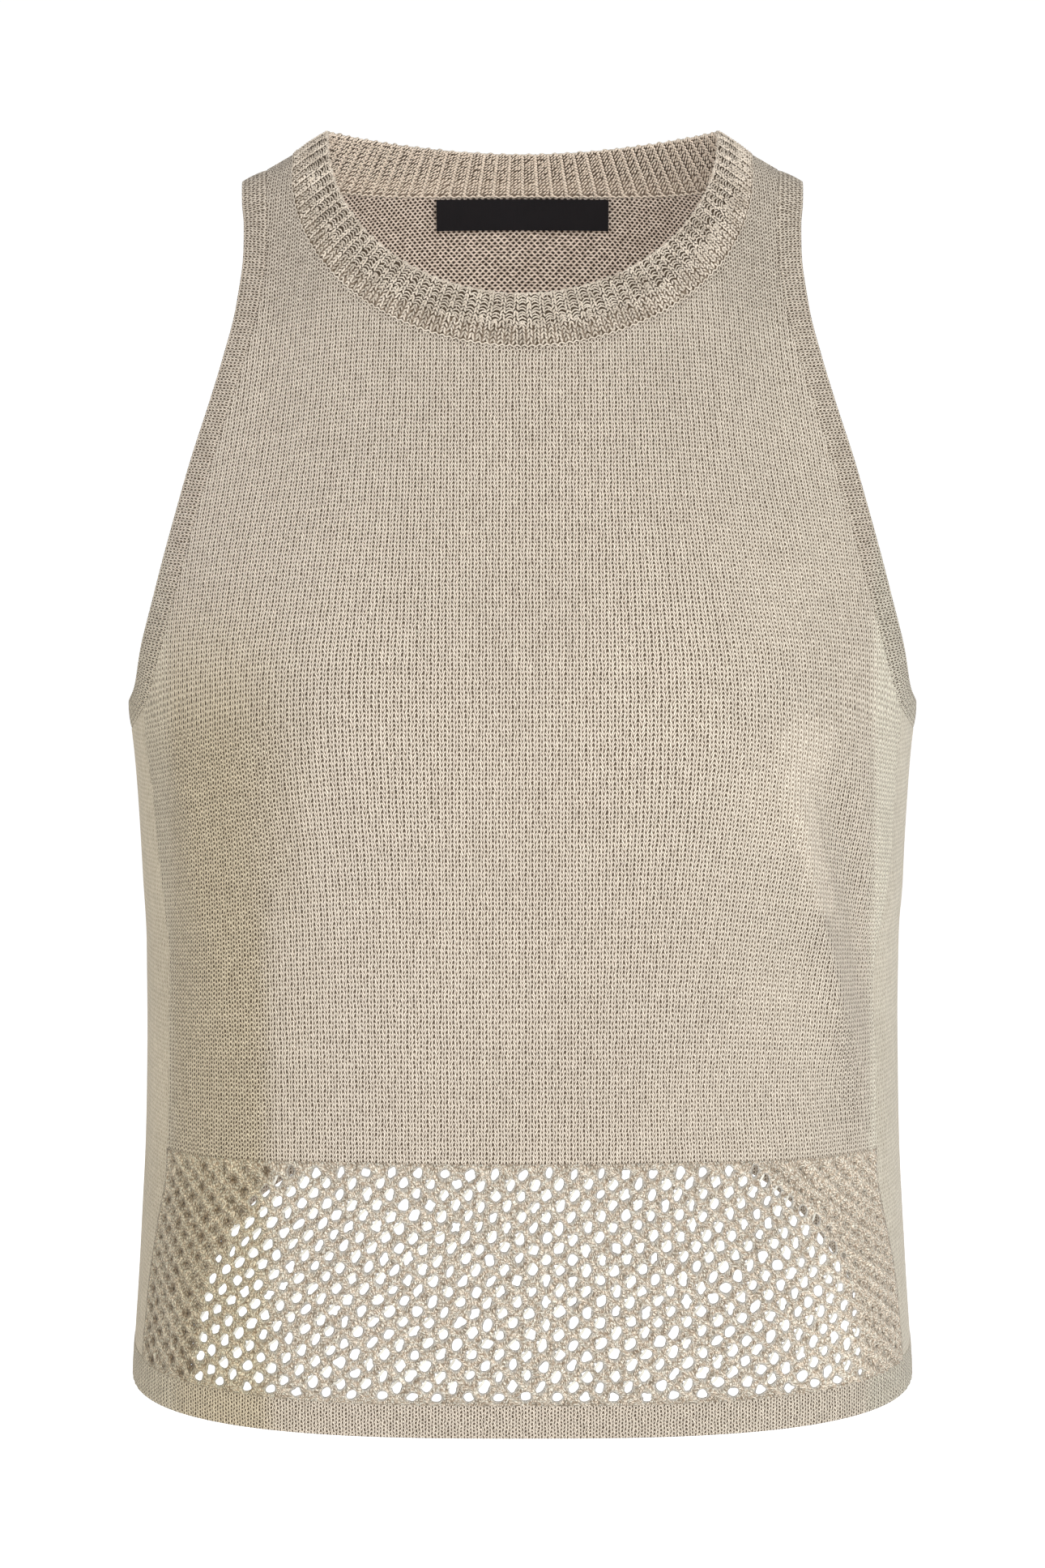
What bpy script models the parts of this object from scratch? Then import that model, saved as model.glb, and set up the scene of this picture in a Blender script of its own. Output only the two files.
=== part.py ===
"""Sleeveless knitted top with an open lace band, worn form without a wearer.

Every piece is a wall of knit laid on one body form.  The form is a stack of
superellipse sections (half width, front depth, back depth, exponent), closed
over a sloping shoulder line.  A place on the form is (psi, z): psi is 0 on the
side line, +90 degrees at centre front and -90 degrees at centre back.

Lengths are in millimetres until the meshes are made, then in metres.
Origin: between the shoulder tops, +Z up, the front faces -Y.
"""

import math

import bmesh
import bpy
import numpy as np

MM = 0.001

# ---------------------------------------------------------------- main sizes
GAP = 0.3              # between neighbouring pieces at a seam
PANEL_WALL = 1.6       # plain knit, front and back
LACE_WALL = 1.6        # open lace band
HEM_WALL = 2.0         # ribbed hem
NECK_WALL = 2.6        # ribbed neckband
ARM_WALL = 1.8         # armhole band
LABEL_WALL = 1.0       # woven label with its folded ends

HEM_Z = -490.0         # lower edge of the hem
HEM_TOP_Z = -476.0     # hem meets the lace band
LACE_TOP_Z = -382.0    # lace band meets the front panel
BACK_LOW_Z = -236.0    # back panel: level below which it goes all round
BACK_RISE = 62.0       # the back hem arches up from the sides to centre back
RISE_POWER = 5.0
RISE_END = 0.93

NECK_HALF = 74.8       # half width of the neck opening at the shoulder
NECK_DROP = 56.8       # front drop of the opening
NECK_BACK_DROP = 11.0
SEAM_HALF = 88.5       # half width of the neckband seam
SEAM_MID_Z = -16.0     # where the front seam's ellipse has its centre
SEAM_DROP = 60.5       # from there down to centre front
BACK_SEAM_Z = (-10.0, -19.5)   # back seam: level at the shoulder, drop from it

LABEL_HALF = 35.0
LABEL_TOP_Z = -28.2    # its top edge covers the neckband's seam
LABEL_DROP = 12.8

# ---------------------------------------------------------------- form tables
# z, half_width, exponent, seam_y (side seam, measured forward of the side line)
SECTIONS = [
    (-490.0, 155.3, 2.80, -47.0),
    (-475.0, 154.2, 2.80, -47.5),
    (-448.0, 152.2, 2.77, -49.5),
    (-421.0, 150.5, 2.75, -56.0),
    (-395.0, 149.0, 2.70, -62.0),
    (-368.0, 148.2, 2.62, -61.5),
    (-341.0, 147.8, 2.56, -61.0),
    (-315.0, 147.9, 2.50, -60.0),
    (-289.0, 149.1, 2.46, -56.5),
    (-263.0, 150.4, 2.42, -50.5),
    (-240.0, 151.9, 2.40, -48.0),
    (-224.0, 153.6, 2.38, -46.5),
    (-180.0, 157.2, 2.34, -46.5),
    (-120.0, 159.7, 2.28, -46.5),
    (-60.0, 158.0, 2.22, -46.5),
    (0.0, 150.0, 2.20, -46.5),
    (40.0, 150.0, 2.20, -46.5),
]
# x, front_z, back_z: the shoulder line, and the level the chest and the nape
# would close at over the neck opening
SHOULDER = [
    (0.0, 10.0, 36.0),
    (30.0, 8.0, 31.0),
    (52.0, 5.2, 18.0),
    (66.0, 2.4, 7.0),
    (74.8, 0.0, 0.0),
    (82.8, -5.0, -5.0),
    (89.0, -9.5, -9.5),
    (95.4, -13.5, -13.5),
    (101.7, -16.3, -16.3),
    (108.2, -19.5, -19.5),
    (130.0, -30.0, -30.0),
    (160.0, -46.0, -46.0),
]
# below (distance under the shoulder line), front_depth, back_depth
DEPTH = [
    (0.0, 0.0, 0.0),
    (4.0, 12.0, 12.0),
    (10.0, 19.5, 19.5),
    (20.0, 29.0, 30.0),
    (43.0, 47.5, 49.5),
    (70.0, 66.0, 65.0),
    (100.0, 82.0, 77.0),
    (140.0, 98.0, 91.0),
    (180.0, 109.0, 100.0),
    (220.0, 115.5, 105.0),
    (260.0, 118.0, 106.0),
    (300.0, 117.0, 104.0),
    (350.0, 114.0, 102.0),
    (400.0, 111.0, 104.0),
    (450.0, 110.0, 108.0),
    (540.0, 109.5, 113.0),
]
# z, edge_x, seam_x: armhole band on the front, and again on the back
ARM_SIDE = [
    (-35.0, 106.8, 97.4),
    (-50.0, 107.0, 97.8),
    (-65.0, 109.2, 100.2),
    (-82.0, 113.5, 104.8),
    (-100.0, 119.0, 110.4),
    (-120.0, 125.6, 117.0),
    (-140.0, 131.5, 123.0),
    (-160.0, 137.2, 128.8),
    (-178.0, 142.1, 133.8),
    (-193.0, 146.2, 138.0),
]
# edge_y, edge_z, seam_y, seam_z: the band under the arm, front half
ARM_UNDER = [
    (-35.0, -212.0, -47.0, -217.0),
    (-17.0, -219.6, -22.0, -229.6),
    (0.0, -222.4, 0.0, -233.0),
]
ARM_TIP = (108.2, 98.4)  # edge_x and seam_x on the shoulder line

# x0, z0, x1, z1, half_width, height: soft folds, heights outward.
FRONT_FOLDS = [
    (98.0, -240.0, 125.0, -352.0, 9.0, 2.0),
    (112.0, -232.0, 136.0, -345.0, 8.0, -2.2),
    (130.0, -238.0, 142.0, -300.0, 7.0, 1.2),
    (116.0, -345.0, 134.0, -430.0, 11.0, -1.8),
    (-128.0, -236.0, -118.0, -335.0, 12.0, 1.2),
    (-140.0, -240.0, -134.0, -330.0, 8.0, -1.2),
    (-60.0, -120.0, -124.0, -222.0, 26.0, -1.2),
    (58.0, -118.0, 126.0, -222.0, 26.0, -1.0),
]
BACK_FOLDS = [
    (96.0, -250.0, 124.0, -370.0, 12.0, 1.8),
    (112.0, -240.0, 138.0, -350.0, 9.0, -1.8),
    (-100.0, -255.0, -122.0, -360.0, 12.0, 1.6),
    (-50.0, -330.0, -20.0, -430.0, 20.0, -1.4),
]

# ---------------------------------------------------------------- mesh density
# shares of the neckband's seam from the centre to the shoulder line, and of an
# armhole side from the shoulder line down: panels and bands share these
# stations, so their seams run side by side
NECK_SPOTS = (0.0, 0.1, 0.2, 0.3, 0.4, 0.5, 0.6, 0.69, 0.77, 0.84,
              0.9, 0.95, 0.985, 1.0)
ARM_SPOTS = (0.0, 0.012, 0.04, 0.08, 0.135, 0.2, 0.28, 0.37, 0.47, 0.58, 0.69,
             0.8, 0.9, 1.0)
STRAP_ROWS = 4         # the last neck stations and first arm stations
STRAP_STEPS = 2        # across the strap
UNDER_STEPS = 3        # under the arm, from the side line to the side seam
PANEL_ROWS = (-262.0, -300.0, -341.0)
LACE_ROWS = (-413.0, -445.0)

NAME = "crochet_top"
COLLECTION = "crochet_top_parts"


# ---------------------------------------------------------------- curves
def fit(rows, key, value):
    """Monotone cubic through two columns of a table: knots, values, slopes."""
    data = sorted((row[key], row[value]) for row in rows)
    x = np.array([d[0] for d in data])
    y = np.array([d[1] for d in data])
    h = np.diff(x)
    d = np.diff(y) / h
    m = np.zeros(len(x))
    m[0], m[-1] = d[0], d[-1]
    for i in range(1, len(x) - 1):
        if d[i - 1] * d[i] > 0:
            w1, w2 = 2 * h[i] + h[i - 1], h[i] + 2 * h[i - 1]
            m[i] = (w1 + w2) / (w1 / d[i - 1] + w2 / d[i])
    return x, y, m


def read(curve, at):
    x, y, m = curve
    at = min(max(float(at), x[0]), x[-1])
    i = min(max(int(np.searchsorted(x, at)) - 1, 0), len(x) - 2)
    h = x[i + 1] - x[i]
    t = (at - x[i]) / h
    return float(
        (1 + 2 * t) * (1 - t) ** 2 * y[i]
        + t * (1 - t) ** 2 * h * m[i]
        + t * t * (3 - 2 * t) * y[i + 1]
        + t * t * (t - 1) * h * m[i + 1]
    )


HALF_WIDTH = fit(SECTIONS, 0, 1)
EXPONENT = fit(SECTIONS, 0, 2)
SEAM_Y = fit(SECTIONS, 0, 3)
SHOULDER_FRONT = fit(SHOULDER, 0, 1)
SHOULDER_BACK = fit(SHOULDER, 0, 2)
ROOT_DEPTH = [(math.sqrt(row[0]), row[1], row[2]) for row in DEPTH]
DEPTH_FRONT = fit(ROOT_DEPTH, 0, 1)
DEPTH_BACK = fit(ROOT_DEPTH, 0, 2)


def smooth_step(t):
    t = min(max(t, 0.0), 1.0)
    return t * t * (3 - 2 * t)


# ---------------------------------------------------------------- body form
def form(psi, z):
    """Point of the form's right half at (psi, z)."""
    a, n = read(HALF_WIDTH, z), read(EXPONENT, z)
    x = a * max(math.cos(psi), 0.0) ** (2 / n)
    share = abs(math.sin(psi)) ** (2 / n)
    if psi >= 0:
        under = max(read(SHOULDER_FRONT, x) - z, 0.0)
        return x, -read(DEPTH_FRONT, math.sqrt(under)) * share, z
    under = max(read(SHOULDER_BACK, x) - z, 0.0)
    return x, read(DEPTH_BACK, math.sqrt(under)) * share, z


def psi_at_x(x, z, side):
    """side is +1 on the front and -1 on the back."""
    a, n = read(HALF_WIDTH, z), read(EXPONENT, z)
    return side * math.acos(min(max(x / a, 0.0), 1.0) ** (n / 2))


def psi_at_y(y, z):
    side = 1 if y <= 0 else -1
    low, high = 0.0, math.pi / 2
    for _ in range(50):
        mid = (low + high) / 2
        if abs(form(side * mid, z)[1]) < abs(y):
            low = mid
        else:
            high = mid
    return side * (low + high) / 2


def fold_height(x, z, folds):
    """Sum of the soft ridges and troughs at (x, z)."""
    total = 0.0
    for x0, z0, x1, z1, width, height in folds:
        dx, dz = x1 - x0, z1 - z0
        t = ((x - x0) * dx + (z - z0) * dz) / (dx * dx + dz * dz)
        near = min(max(t, 0.0), 1.0)
        off = math.hypot(x - x0 - near * dx, z - z0 - near * dz)
        ends = smooth_step(t * 3 + 0.4) * smooth_step((1 - t) * 3 + 0.4)
        total += height * ends * math.exp(-((off / width) ** 2))
    return total


def place(psi, z, mirror=1, out=0.0):
    """Point of the cloth at (psi, z), with its folds, in millimetres.

    mirror is +1 on the wearer's left (+X) and -1 on their right; out moves the
    point outward along the form's normal.
    """
    step = 0.02
    x, y, _ = form(psi, z)
    here = np.array(form(psi, z))
    side = math.copysign(1.0, psi) if psi else 1.0
    around = np.array(form(psi - side * step, z)) - here
    down = np.array(form(psi, z - 1.0)) - here
    normal = np.cross(around, down) * side
    size = np.linalg.norm(normal)
    if size > 1e-9 and abs(y) > 0.5:
        normal = normal / size
        if normal[0] * x + normal[1] * y < 0:
            normal = -normal
    else:
        normal = np.array((0.35, 0.0, 0.937))
    folds = FRONT_FOLDS if psi >= 0 else BACK_FOLDS
    point = here + normal * (out + fold_height(mirror * x, z, folds))
    return mirror * point[0], point[1], point[2]


# ---------------------------------------------------------------- seam lines
def neck_seam(t, side, grow=0.0):
    """(psi, z) of the neckband's seam, t from 0 at the centre to 1 at the top."""
    half = SEAM_HALF + grow
    top = read(SHOULDER_FRONT, half)
    if side > 0:
        arc = 0.93
        if t < arc:
            angle = math.pi / 2 * t / arc
            x = half * math.sin(angle)
            z = SEAM_MID_Z - (SEAM_DROP + grow) * math.cos(angle)
        else:
            x = half
            z = SEAM_MID_Z + (top - SEAM_MID_Z) * (t - arc) / (1 - arc)
    else:
        angle = math.pi / 2 * t
        x = half * math.sin(angle)
        z = top - (-BACK_SEAM_Z[1] + grow) * (1 - (x / half) ** 4) ** (1 / 3)
    return psi_at_x(x, z, side), z


def neck_edge(t, side):
    """(psi, z) of the neckband's free edge."""
    angle = math.pi / 2 * t
    x = NECK_HALF * math.sin(angle)
    if side > 0:
        z = -NECK_DROP * math.cos(angle)
    else:
        z = -NECK_BACK_DROP * math.cos(angle) ** 2
    return psi_at_x(x, z, side), z


def arm_rows(grow=0.0):
    """Control rows (edge psi, edge z, seam psi, seam z) from the shoulder, down
    the front, under the arm; the back repeats them."""
    rows = []
    for drop in (0.0, 2.5, 8.0):
        edge_x, seam_x = ARM_TIP[0] - 0.06 * drop, ARM_TIP[1] - 0.04 * drop - grow
        edge_z = read(SHOULDER_FRONT, edge_x) - drop
        seam_z = read(SHOULDER_FRONT, seam_x) - drop
        rows.append((psi_at_x(edge_x, edge_z, 1), edge_z,
                     psi_at_x(seam_x, seam_z, 1), seam_z))
    for z, edge_x, seam_x in ARM_SIDE:
        rows.append((psi_at_x(edge_x, z, 1), z, psi_at_x(seam_x - grow, z, 1), z))
    for edge_y, edge_z, seam_y, seam_z in ARM_UNDER:
        rows.append((psi_at_y(edge_y, edge_z), edge_z,
                     psi_at_y(seam_y, seam_z - grow), seam_z - grow))
    return rows


def arm_curves(side, grow=0.0):
    """Smooth curves of the rows: t from 0 at the shoulder to 1 under the arm."""
    rows = arm_rows(grow)
    points = []
    for edge_psi, edge_z, seam_psi, seam_z in rows:
        if side < 0:
            edge = form(edge_psi, edge_z)
            seam = form(seam_psi, seam_z)
            edge_psi = -psi_at_x(edge[0], edge_z, 1)
            seam_psi = -psi_at_x(seam[0], seam_z, 1)
        points.append((edge_psi, edge_z, seam_psi, seam_z))
    run = [0.0]
    for before, after in zip(points, points[1:]):
        a = np.array(form(before[0], before[1]))
        b = np.array(form(after[0], after[1]))
        run.append(run[-1] + float(np.linalg.norm(b - a)))
    table = [(r / run[-1],) + p for r, p in zip(run, points)]
    return [fit(table, 0, column) for column in (1, 2, 3, 4)]


def arm_at(curves, t):
    return [read(curve, t) for curve in curves]


def seam_split():
    """t on the front armhole seam where the side seam starts."""
    low, high = 0.5, 1.0
    curves = arm_curves(1)
    for _ in range(40):
        mid = (low + high) / 2
        _, _, psi, z = arm_at(curves, mid)
        if form(psi, z)[1] < read(SEAM_Y, z):
            low = mid
        else:
            high = mid
    return (low + high) / 2


# ---------------------------------------------------------------- grids
def blend_patch(bottom, top, side):
    """Coons patch between a bottom line, a top line, centre and a side line.

    A row lies as far up the patch as its point on the side line.
    """
    count = len(bottom) - 1
    low, high = side[0][1], side[-1][1]
    grid = []
    for j in range(len(side)):
        t = (side[j][1] - low) / (high - low)
        centre = tuple(bottom[0][k] + (top[0][k] - bottom[0][k]) * t for k in (0, 1))
        line = []
        for i in range(count + 1):
            s = i / count
            point = []
            for k in (0, 1):
                ruled = (1 - t) * bottom[i][k] + t * top[i][k]
                sides = (1 - s) * centre[k] + s * side[j][k]
                corners = (
                    (1 - s) * ((1 - t) * bottom[0][k] + t * top[0][k])
                    + s * ((1 - t) * bottom[-1][k] + t * top[-1][k])
                )
                point.append(ruled + sides - corners)
            line.append(tuple(point))
        grid.append(line)
    return grid


def even_line(z_of, start, end, count):
    """(psi, z) points of equal spacing along the form from start to end."""
    fine = [start + (end - start) * k / 200 for k in range(201)]
    run = [0.0]
    last = np.array(form(fine[0], z_of(fine[0])))
    for psi in fine[1:]:
        here = np.array(form(psi, z_of(psi)))
        run.append(run[-1] + float(np.linalg.norm(here - last)))
        last = here
    spots = np.interp(np.linspace(0, run[-1], count + 1), run, fine)
    return [(float(p), z_of(float(p))) for p in spots]


def seam_psi(z, shift):
    """psi of the side seam; shift moves it along y."""
    return psi_at_y(read(SEAM_Y, z) + shift, z)


def rise(psi):
    """How much higher the back hem is at psi."""
    if psi >= 0:
        return 0.0
    share = max(math.cos(psi), 0.0) ** (2 / read(EXPONENT, HEM_Z))
    return BACK_RISE * (1 - min(share / RISE_END, 1.0) ** RISE_POWER)


# ---------------------------------------------------------------- meshes
def wall(name, blocks, thickness, color, ring=False):
    """A knit wall: an open surface through lines of points, solidified.

    Each block is (start, lines).  The first block's start is None.  A later
    block stands on the points of an earlier line from `start`, which is
    (block, first point, point after the last).
    """
    mesh = bpy.data.meshes.new(name)
    build = bmesh.new()
    made = []
    for start, lines in blocks:
        rows = [[build.verts.new([c * MM for c in p]) for p in line] for line in lines]
        if start is not None:
            block, first, stop = start
            rows.insert(0, made[block][-1][first:stop])
        made.append(rows)
        count = len(rows[0])
        for low, high in zip(rows, rows[1:]):
            for i in range(count if ring else count - 1):
                k = (i + 1) % count
                build.faces.new((low[i], low[k], high[k], high[i]))
    build.normal_update()
    build.to_mesh(mesh)
    build.free()
    mesh.shade_smooth()
    obj = bpy.data.objects.new(name, mesh)
    bpy.data.collections[COLLECTION].objects.link(obj)
    solid = obj.modifiers.new("wall", "SOLIDIFY")
    solid.thickness = thickness * MM
    solid.offset = 0.0
    solid.use_rim = True
    obj.data.materials.append(knit_material(name, color))
    return obj


def knit_material(name, color):
    material = bpy.data.materials.new(name)
    material.use_nodes = True
    shader = material.node_tree.nodes["Principled BSDF"]
    shader.inputs["Base Color"].default_value = (*color, 1.0)
    shader.inputs["Roughness"].default_value = 0.45 if name == "neck_label" else 0.9
    shader.inputs["Metallic"].default_value = 0.0
    return material


def to_place(line, mirror):
    return [place(psi, z, mirror) for psi, z in line]


def both_sides(half_lines):
    """Lines of (psi, z) from the centre outward, mirrored to the full width."""
    return [to_place(line[:0:-1], -1) + to_place(line, 1) for line in half_lines]


# ---------------------------------------------------------------- pieces
SAND = (0.545, 0.468, 0.381)
SHADE = (0.500, 0.430, 0.350)
BLACK = (0.012, 0.011, 0.012)
# level, share of the back hem's rise
BACK_LEVELS = [
    (HEM_TOP_Z + GAP / 2, 1.0),
    (LACE_ROWS[1], 0.82),
    (LACE_ROWS[0], 0.6),
    (LACE_TOP_Z, 0.4),
    (PANEL_ROWS[2], 0.22),
    (PANEL_ROWS[1], 0.1),
    (PANEL_ROWS[0], 0.0),
]


NECK_MAIN = len(NECK_SPOTS) - STRAP_ROWS     # stations under the strap's base
COLUMNS = NECK_MAIN - 1 + STRAP_STEPS        # of half a panel


def between(a, b, count):
    """The points after a, up to and with b."""
    return [tuple(a[k] + (b[k] - a[k]) * i / count for k in (0, 1))
            for i in range(1, count + 1)]


def panel_top(side, curves, split):
    """Main patch's upper line, and the strap's lines above it."""
    line = [neck_seam(t, side, GAP) for t in NECK_SPOTS[:NECK_MAIN]]
    base = tuple(arm_at(curves, split * ARM_SPOTS[STRAP_ROWS])[2:])
    line += between(line[-1], base, STRAP_STEPS)
    strap = []
    for k in range(STRAP_ROWS):
        neck = neck_seam(NECK_SPOTS[NECK_MAIN + k], side, GAP)
        arm = tuple(arm_at(curves, split * ARM_SPOTS[STRAP_ROWS - 1 - k])[2:])
        strap.append([neck] + between(neck, arm, STRAP_STEPS))
    return line, strap


def arm_side(bottom, curves, split):
    """The patch's side line, from its bottom corner up to the strap's base."""
    return [bottom] + [tuple(arm_at(curves, split * spot)[2:])
                       for spot in ARM_SPOTS[-2:STRAP_ROWS - 1:-1]]


def strap_lines(strap, side, mirror):
    """Points of one strap.

    The last line stops a gap short of the shoulder line, because the two
    panels lean together there and their inner skins are closer.
    """
    lines = [to_place(line, mirror) for line in strap]
    lines[-1] = [(x, -side * GAP, z) for x, _, z in lines[-1]]
    return lines


def front_panel():
    split = seam_split()
    curves = arm_curves(1, GAP)
    low_z = arm_at(curves, split)[3]
    bottom = even_line(lambda psi: low_z, math.pi / 2,
                       seam_psi(low_z, -GAP / 2), COLUMNS)
    top, strap = panel_top(1, curves, split)
    patch = blend_patch(bottom, top, arm_side(bottom[-1], curves, split))
    skirt = [even_line(lambda psi, z=z: z, math.pi / 2, seam_psi(z, -GAP / 2), COLUMNS)
             for z in (LACE_TOP_Z + GAP / 2, *reversed(PANEL_ROWS))]
    main = both_sides(skirt + patch)
    last = len(main[0])
    wall("front_panel", [
        (None, main),
        ((0, 0, STRAP_STEPS + 1), [line[::-1] for line in strap_lines(strap, 1, -1)]),
        ((0, last - STRAP_STEPS - 1, last), strap_lines(strap, 1, 1)),
    ], PANEL_WALL, SAND)


def front_band(name, levels, thickness):
    rows = [even_line(lambda psi, z=z: z, math.pi / 2, seam_psi(z, -GAP / 2), COLUMNS)
            for z in levels]
    wall(name, [(None, both_sides(rows))], thickness, SAND)


def back_line(z, fade):
    """Half a level line of the back, round to the side seam at the front."""
    def z_of(psi):
        return z + fade * rise(psi)
    back = even_line(z_of, -math.pi / 2, 0.0, COLUMNS)
    return back + even_line(z_of, 0.0, seam_psi(z, GAP / 2), UNDER_STEPS)[1:]


def back_panel():
    split = seam_split()
    front_curves = arm_curves(1, GAP)
    curves = arm_curves(-1, GAP)
    under_z = arm_at(curves, 1.0)[3]
    bottom = even_line(
        lambda psi: BACK_LOW_Z + (under_z - BACK_LOW_Z)
        * smooth_step(1 + psi / (math.pi / 2)), -math.pi / 2, 0.0, COLUMNS)
    top, strap = panel_top(-1, curves, 1.0)
    patch = blend_patch(bottom, top, arm_side(bottom[-1], curves, 1.0))
    # the wrap: under the arm, from the side line forward to the side seam
    wrap = [tuple(arm_at(front_curves, 1 + (split - 1) * k / UNDER_STEPS)[2:])
            for k in range(1, UNDER_STEPS + 1)]
    wrap[-1] = (seam_psi(wrap[-1][1], GAP / 2), wrap[-1][1])
    rows = [back_line(z, fade) for z, fade in BACK_LEVELS]
    skirt = both_sides(rows + [bottom + wrap])
    upper = both_sides(patch[1:])
    last = len(upper[0])
    wall("back_panel", [
        (None, skirt),
        ((0, UNDER_STEPS, len(skirt[0]) - UNDER_STEPS), upper),
        ((1, 0, STRAP_STEPS + 1), [line[::-1] for line in strap_lines(strap, -1, -1)]),
        ((1, last - STRAP_STEPS - 1, last), strap_lines(strap, -1, 1)),
    ], PANEL_WALL, SHADE)


def back_hem():
    rows = [back_line(z, 1.0) for z in (HEM_Z, HEM_TOP_Z - GAP / 2)]
    wall("back_hem_band", [(None, both_sides(rows))], HEM_WALL, SHADE)


def neckband():
    """A ring of ribbed knit from the neck seam to the free edge."""
    stations = [(neck_seam(t, 1), neck_edge(t, 1)) for t in NECK_SPOTS]
    stations += [(neck_seam(t, -1), neck_edge(t, -1)) for t in NECK_SPOTS[-2::-1]]
    lines = []
    for share in (0.0, 0.5, 1.0):
        half = []
        for seam, edge in stations:
            psi, z = (seam[k] + (edge[k] - seam[k]) * share for k in (0, 1))
            x, y, z = place(psi, z)
            half.append((x, y, z + 1.5 * share * (1 - share)))
        left = [(-x, y, z) for x, y, z in reversed(half[1:-1])]
        lines.append(half + left)
    wall("neckband", [(None, lines)], NECK_WALL, SAND, ring=True)


def armhole_band(name, mirror):
    front, back = arm_curves(1), arm_curves(-1)
    split = seam_split()
    stations = [arm_at(front, split * spot) for spot in ARM_SPOTS]
    stations += [arm_at(front, split + (1 - split) * k / UNDER_STEPS)
                 for k in range(1, UNDER_STEPS + 1)]
    stations += [arm_at(back, spot) for spot in ARM_SPOTS[-2:0:-1]]
    lines = []
    for share in (0.0, 0.5, 1.0):
        line = []
        for edge_psi, edge_z, seam_psi_, seam_z in stations:
            psi = edge_psi + (seam_psi_ - edge_psi) * share
            z = edge_z + (seam_z - edge_z) * share
            line.append(place(psi, z, mirror))
        lines.append(line)
    wall(name, [(None, lines)], ARM_WALL, SAND, ring=True)


def neck_label():
    inward = -(NECK_WALL / 2 + GAP + LABEL_WALL / 2 + 0.5)
    rows = []
    for z in (LABEL_TOP_Z - LABEL_DROP, LABEL_TOP_Z):
        line = []
        for k in range(9):
            x = LABEL_HALF * (2 * k / 8 - 1)
            psi = psi_at_x(abs(x), z, -1)
            line.append(place(psi, z, -1 if x < 0 else 1, inward))
        rows.append(line)
    wall("neck_label", [(None, rows)], LABEL_WALL, BLACK)


def main():
    for obj in list(bpy.data.objects):
        bpy.data.objects.remove(obj, do_unlink=True)
    if COLLECTION not in bpy.data.collections:
        parts = bpy.data.collections.new(COLLECTION)
        bpy.context.scene.collection.children.link(parts)
    front_panel()
    front_band("front_lace_band",
               (HEM_TOP_Z + GAP / 2, LACE_ROWS[1], LACE_ROWS[0], LACE_TOP_Z - GAP / 2),
               LACE_WALL)
    front_band("front_hem_band", (HEM_Z, HEM_TOP_Z - GAP / 2), HEM_WALL)
    back_panel()
    back_hem()
    neckband()
    armhole_band("armhole_band_left", 1)
    armhole_band("armhole_band_right", -1)
    neck_label()


main()
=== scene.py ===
"""Looks of the sleeveless knitted top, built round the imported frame.

Lengths are in millimetres until a mesh is made, then in metres.  The form and
the seam lines repeat the CAD part's: a place on the cloth is (psi, z), where
psi is 0 on the side line, +90 degrees at centre front and -90 at centre back.
mirror is +1 on the wearer's left (+X) and -1 on their right.
"""

import math

import bpy
import numpy as np
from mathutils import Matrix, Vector


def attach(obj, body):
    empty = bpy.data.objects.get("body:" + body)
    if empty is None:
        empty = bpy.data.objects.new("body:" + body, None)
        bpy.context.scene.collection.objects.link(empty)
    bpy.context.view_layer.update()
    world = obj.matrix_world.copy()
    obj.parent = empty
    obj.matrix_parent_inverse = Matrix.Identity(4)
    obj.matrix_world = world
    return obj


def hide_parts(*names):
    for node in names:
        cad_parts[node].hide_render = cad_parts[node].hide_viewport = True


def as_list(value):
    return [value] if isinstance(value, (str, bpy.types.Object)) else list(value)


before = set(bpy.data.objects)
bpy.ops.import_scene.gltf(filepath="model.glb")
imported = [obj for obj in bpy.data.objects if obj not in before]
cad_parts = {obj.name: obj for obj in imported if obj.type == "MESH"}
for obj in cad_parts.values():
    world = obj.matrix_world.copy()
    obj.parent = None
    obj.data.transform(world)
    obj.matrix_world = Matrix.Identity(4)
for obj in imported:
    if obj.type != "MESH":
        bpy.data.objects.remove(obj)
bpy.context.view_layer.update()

MM = 0.001
HALF_PI = math.pi / 2
RNG = np.random.default_rng(7)

# ---------------------------------------------------------------- sizes
HEM_Z = -490.0
HEM_TOP_Z = -476.0
LACE_TOP_Z = -382.0
BACK_LOW_Z = -236.0
BACK_RISE = 62.0
RISE_POWER = 5.0
RISE_END = 0.93

NECK_HALF = 74.8
NECK_DROP = 56.8
NECK_BACK_DROP = 11.0
SEAM_HALF = 88.5
SEAM_MID_Z = -16.0
SEAM_DROP = 60.5
BACK_SEAM_Z = (-10.0, -19.5)

LABEL_HALF = 35.0
LABEL_TOP_Z = -28.2
LABEL_DROP = 12.8

WALE = 2.46            # between two columns of stitches
COURSE = 1.85          # between two rows of stitches
LACE_COLUMNS = 15.5    # from the centre to a side seam
LACE_FIRST_Z = -386.0
LACE_STEP = 4.19

SECTIONS = [
    (-490.0, 155.3, 2.80, -47.0),
    (-475.0, 154.2, 2.80, -47.5),
    (-448.0, 152.2, 2.77, -49.5),
    (-421.0, 150.5, 2.75, -56.0),
    (-395.0, 149.0, 2.70, -62.0),
    (-368.0, 148.2, 2.62, -61.5),
    (-341.0, 147.8, 2.56, -61.0),
    (-315.0, 147.9, 2.50, -60.0),
    (-289.0, 149.1, 2.46, -56.5),
    (-263.0, 150.4, 2.42, -50.5),
    (-240.0, 151.9, 2.40, -48.0),
    (-224.0, 153.6, 2.38, -46.5),
    (-180.0, 157.2, 2.34, -46.5),
    (-120.0, 159.7, 2.28, -46.5),
    (-60.0, 158.0, 2.22, -46.5),
    (0.0, 150.0, 2.20, -46.5),
    (40.0, 150.0, 2.20, -46.5),
]
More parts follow.
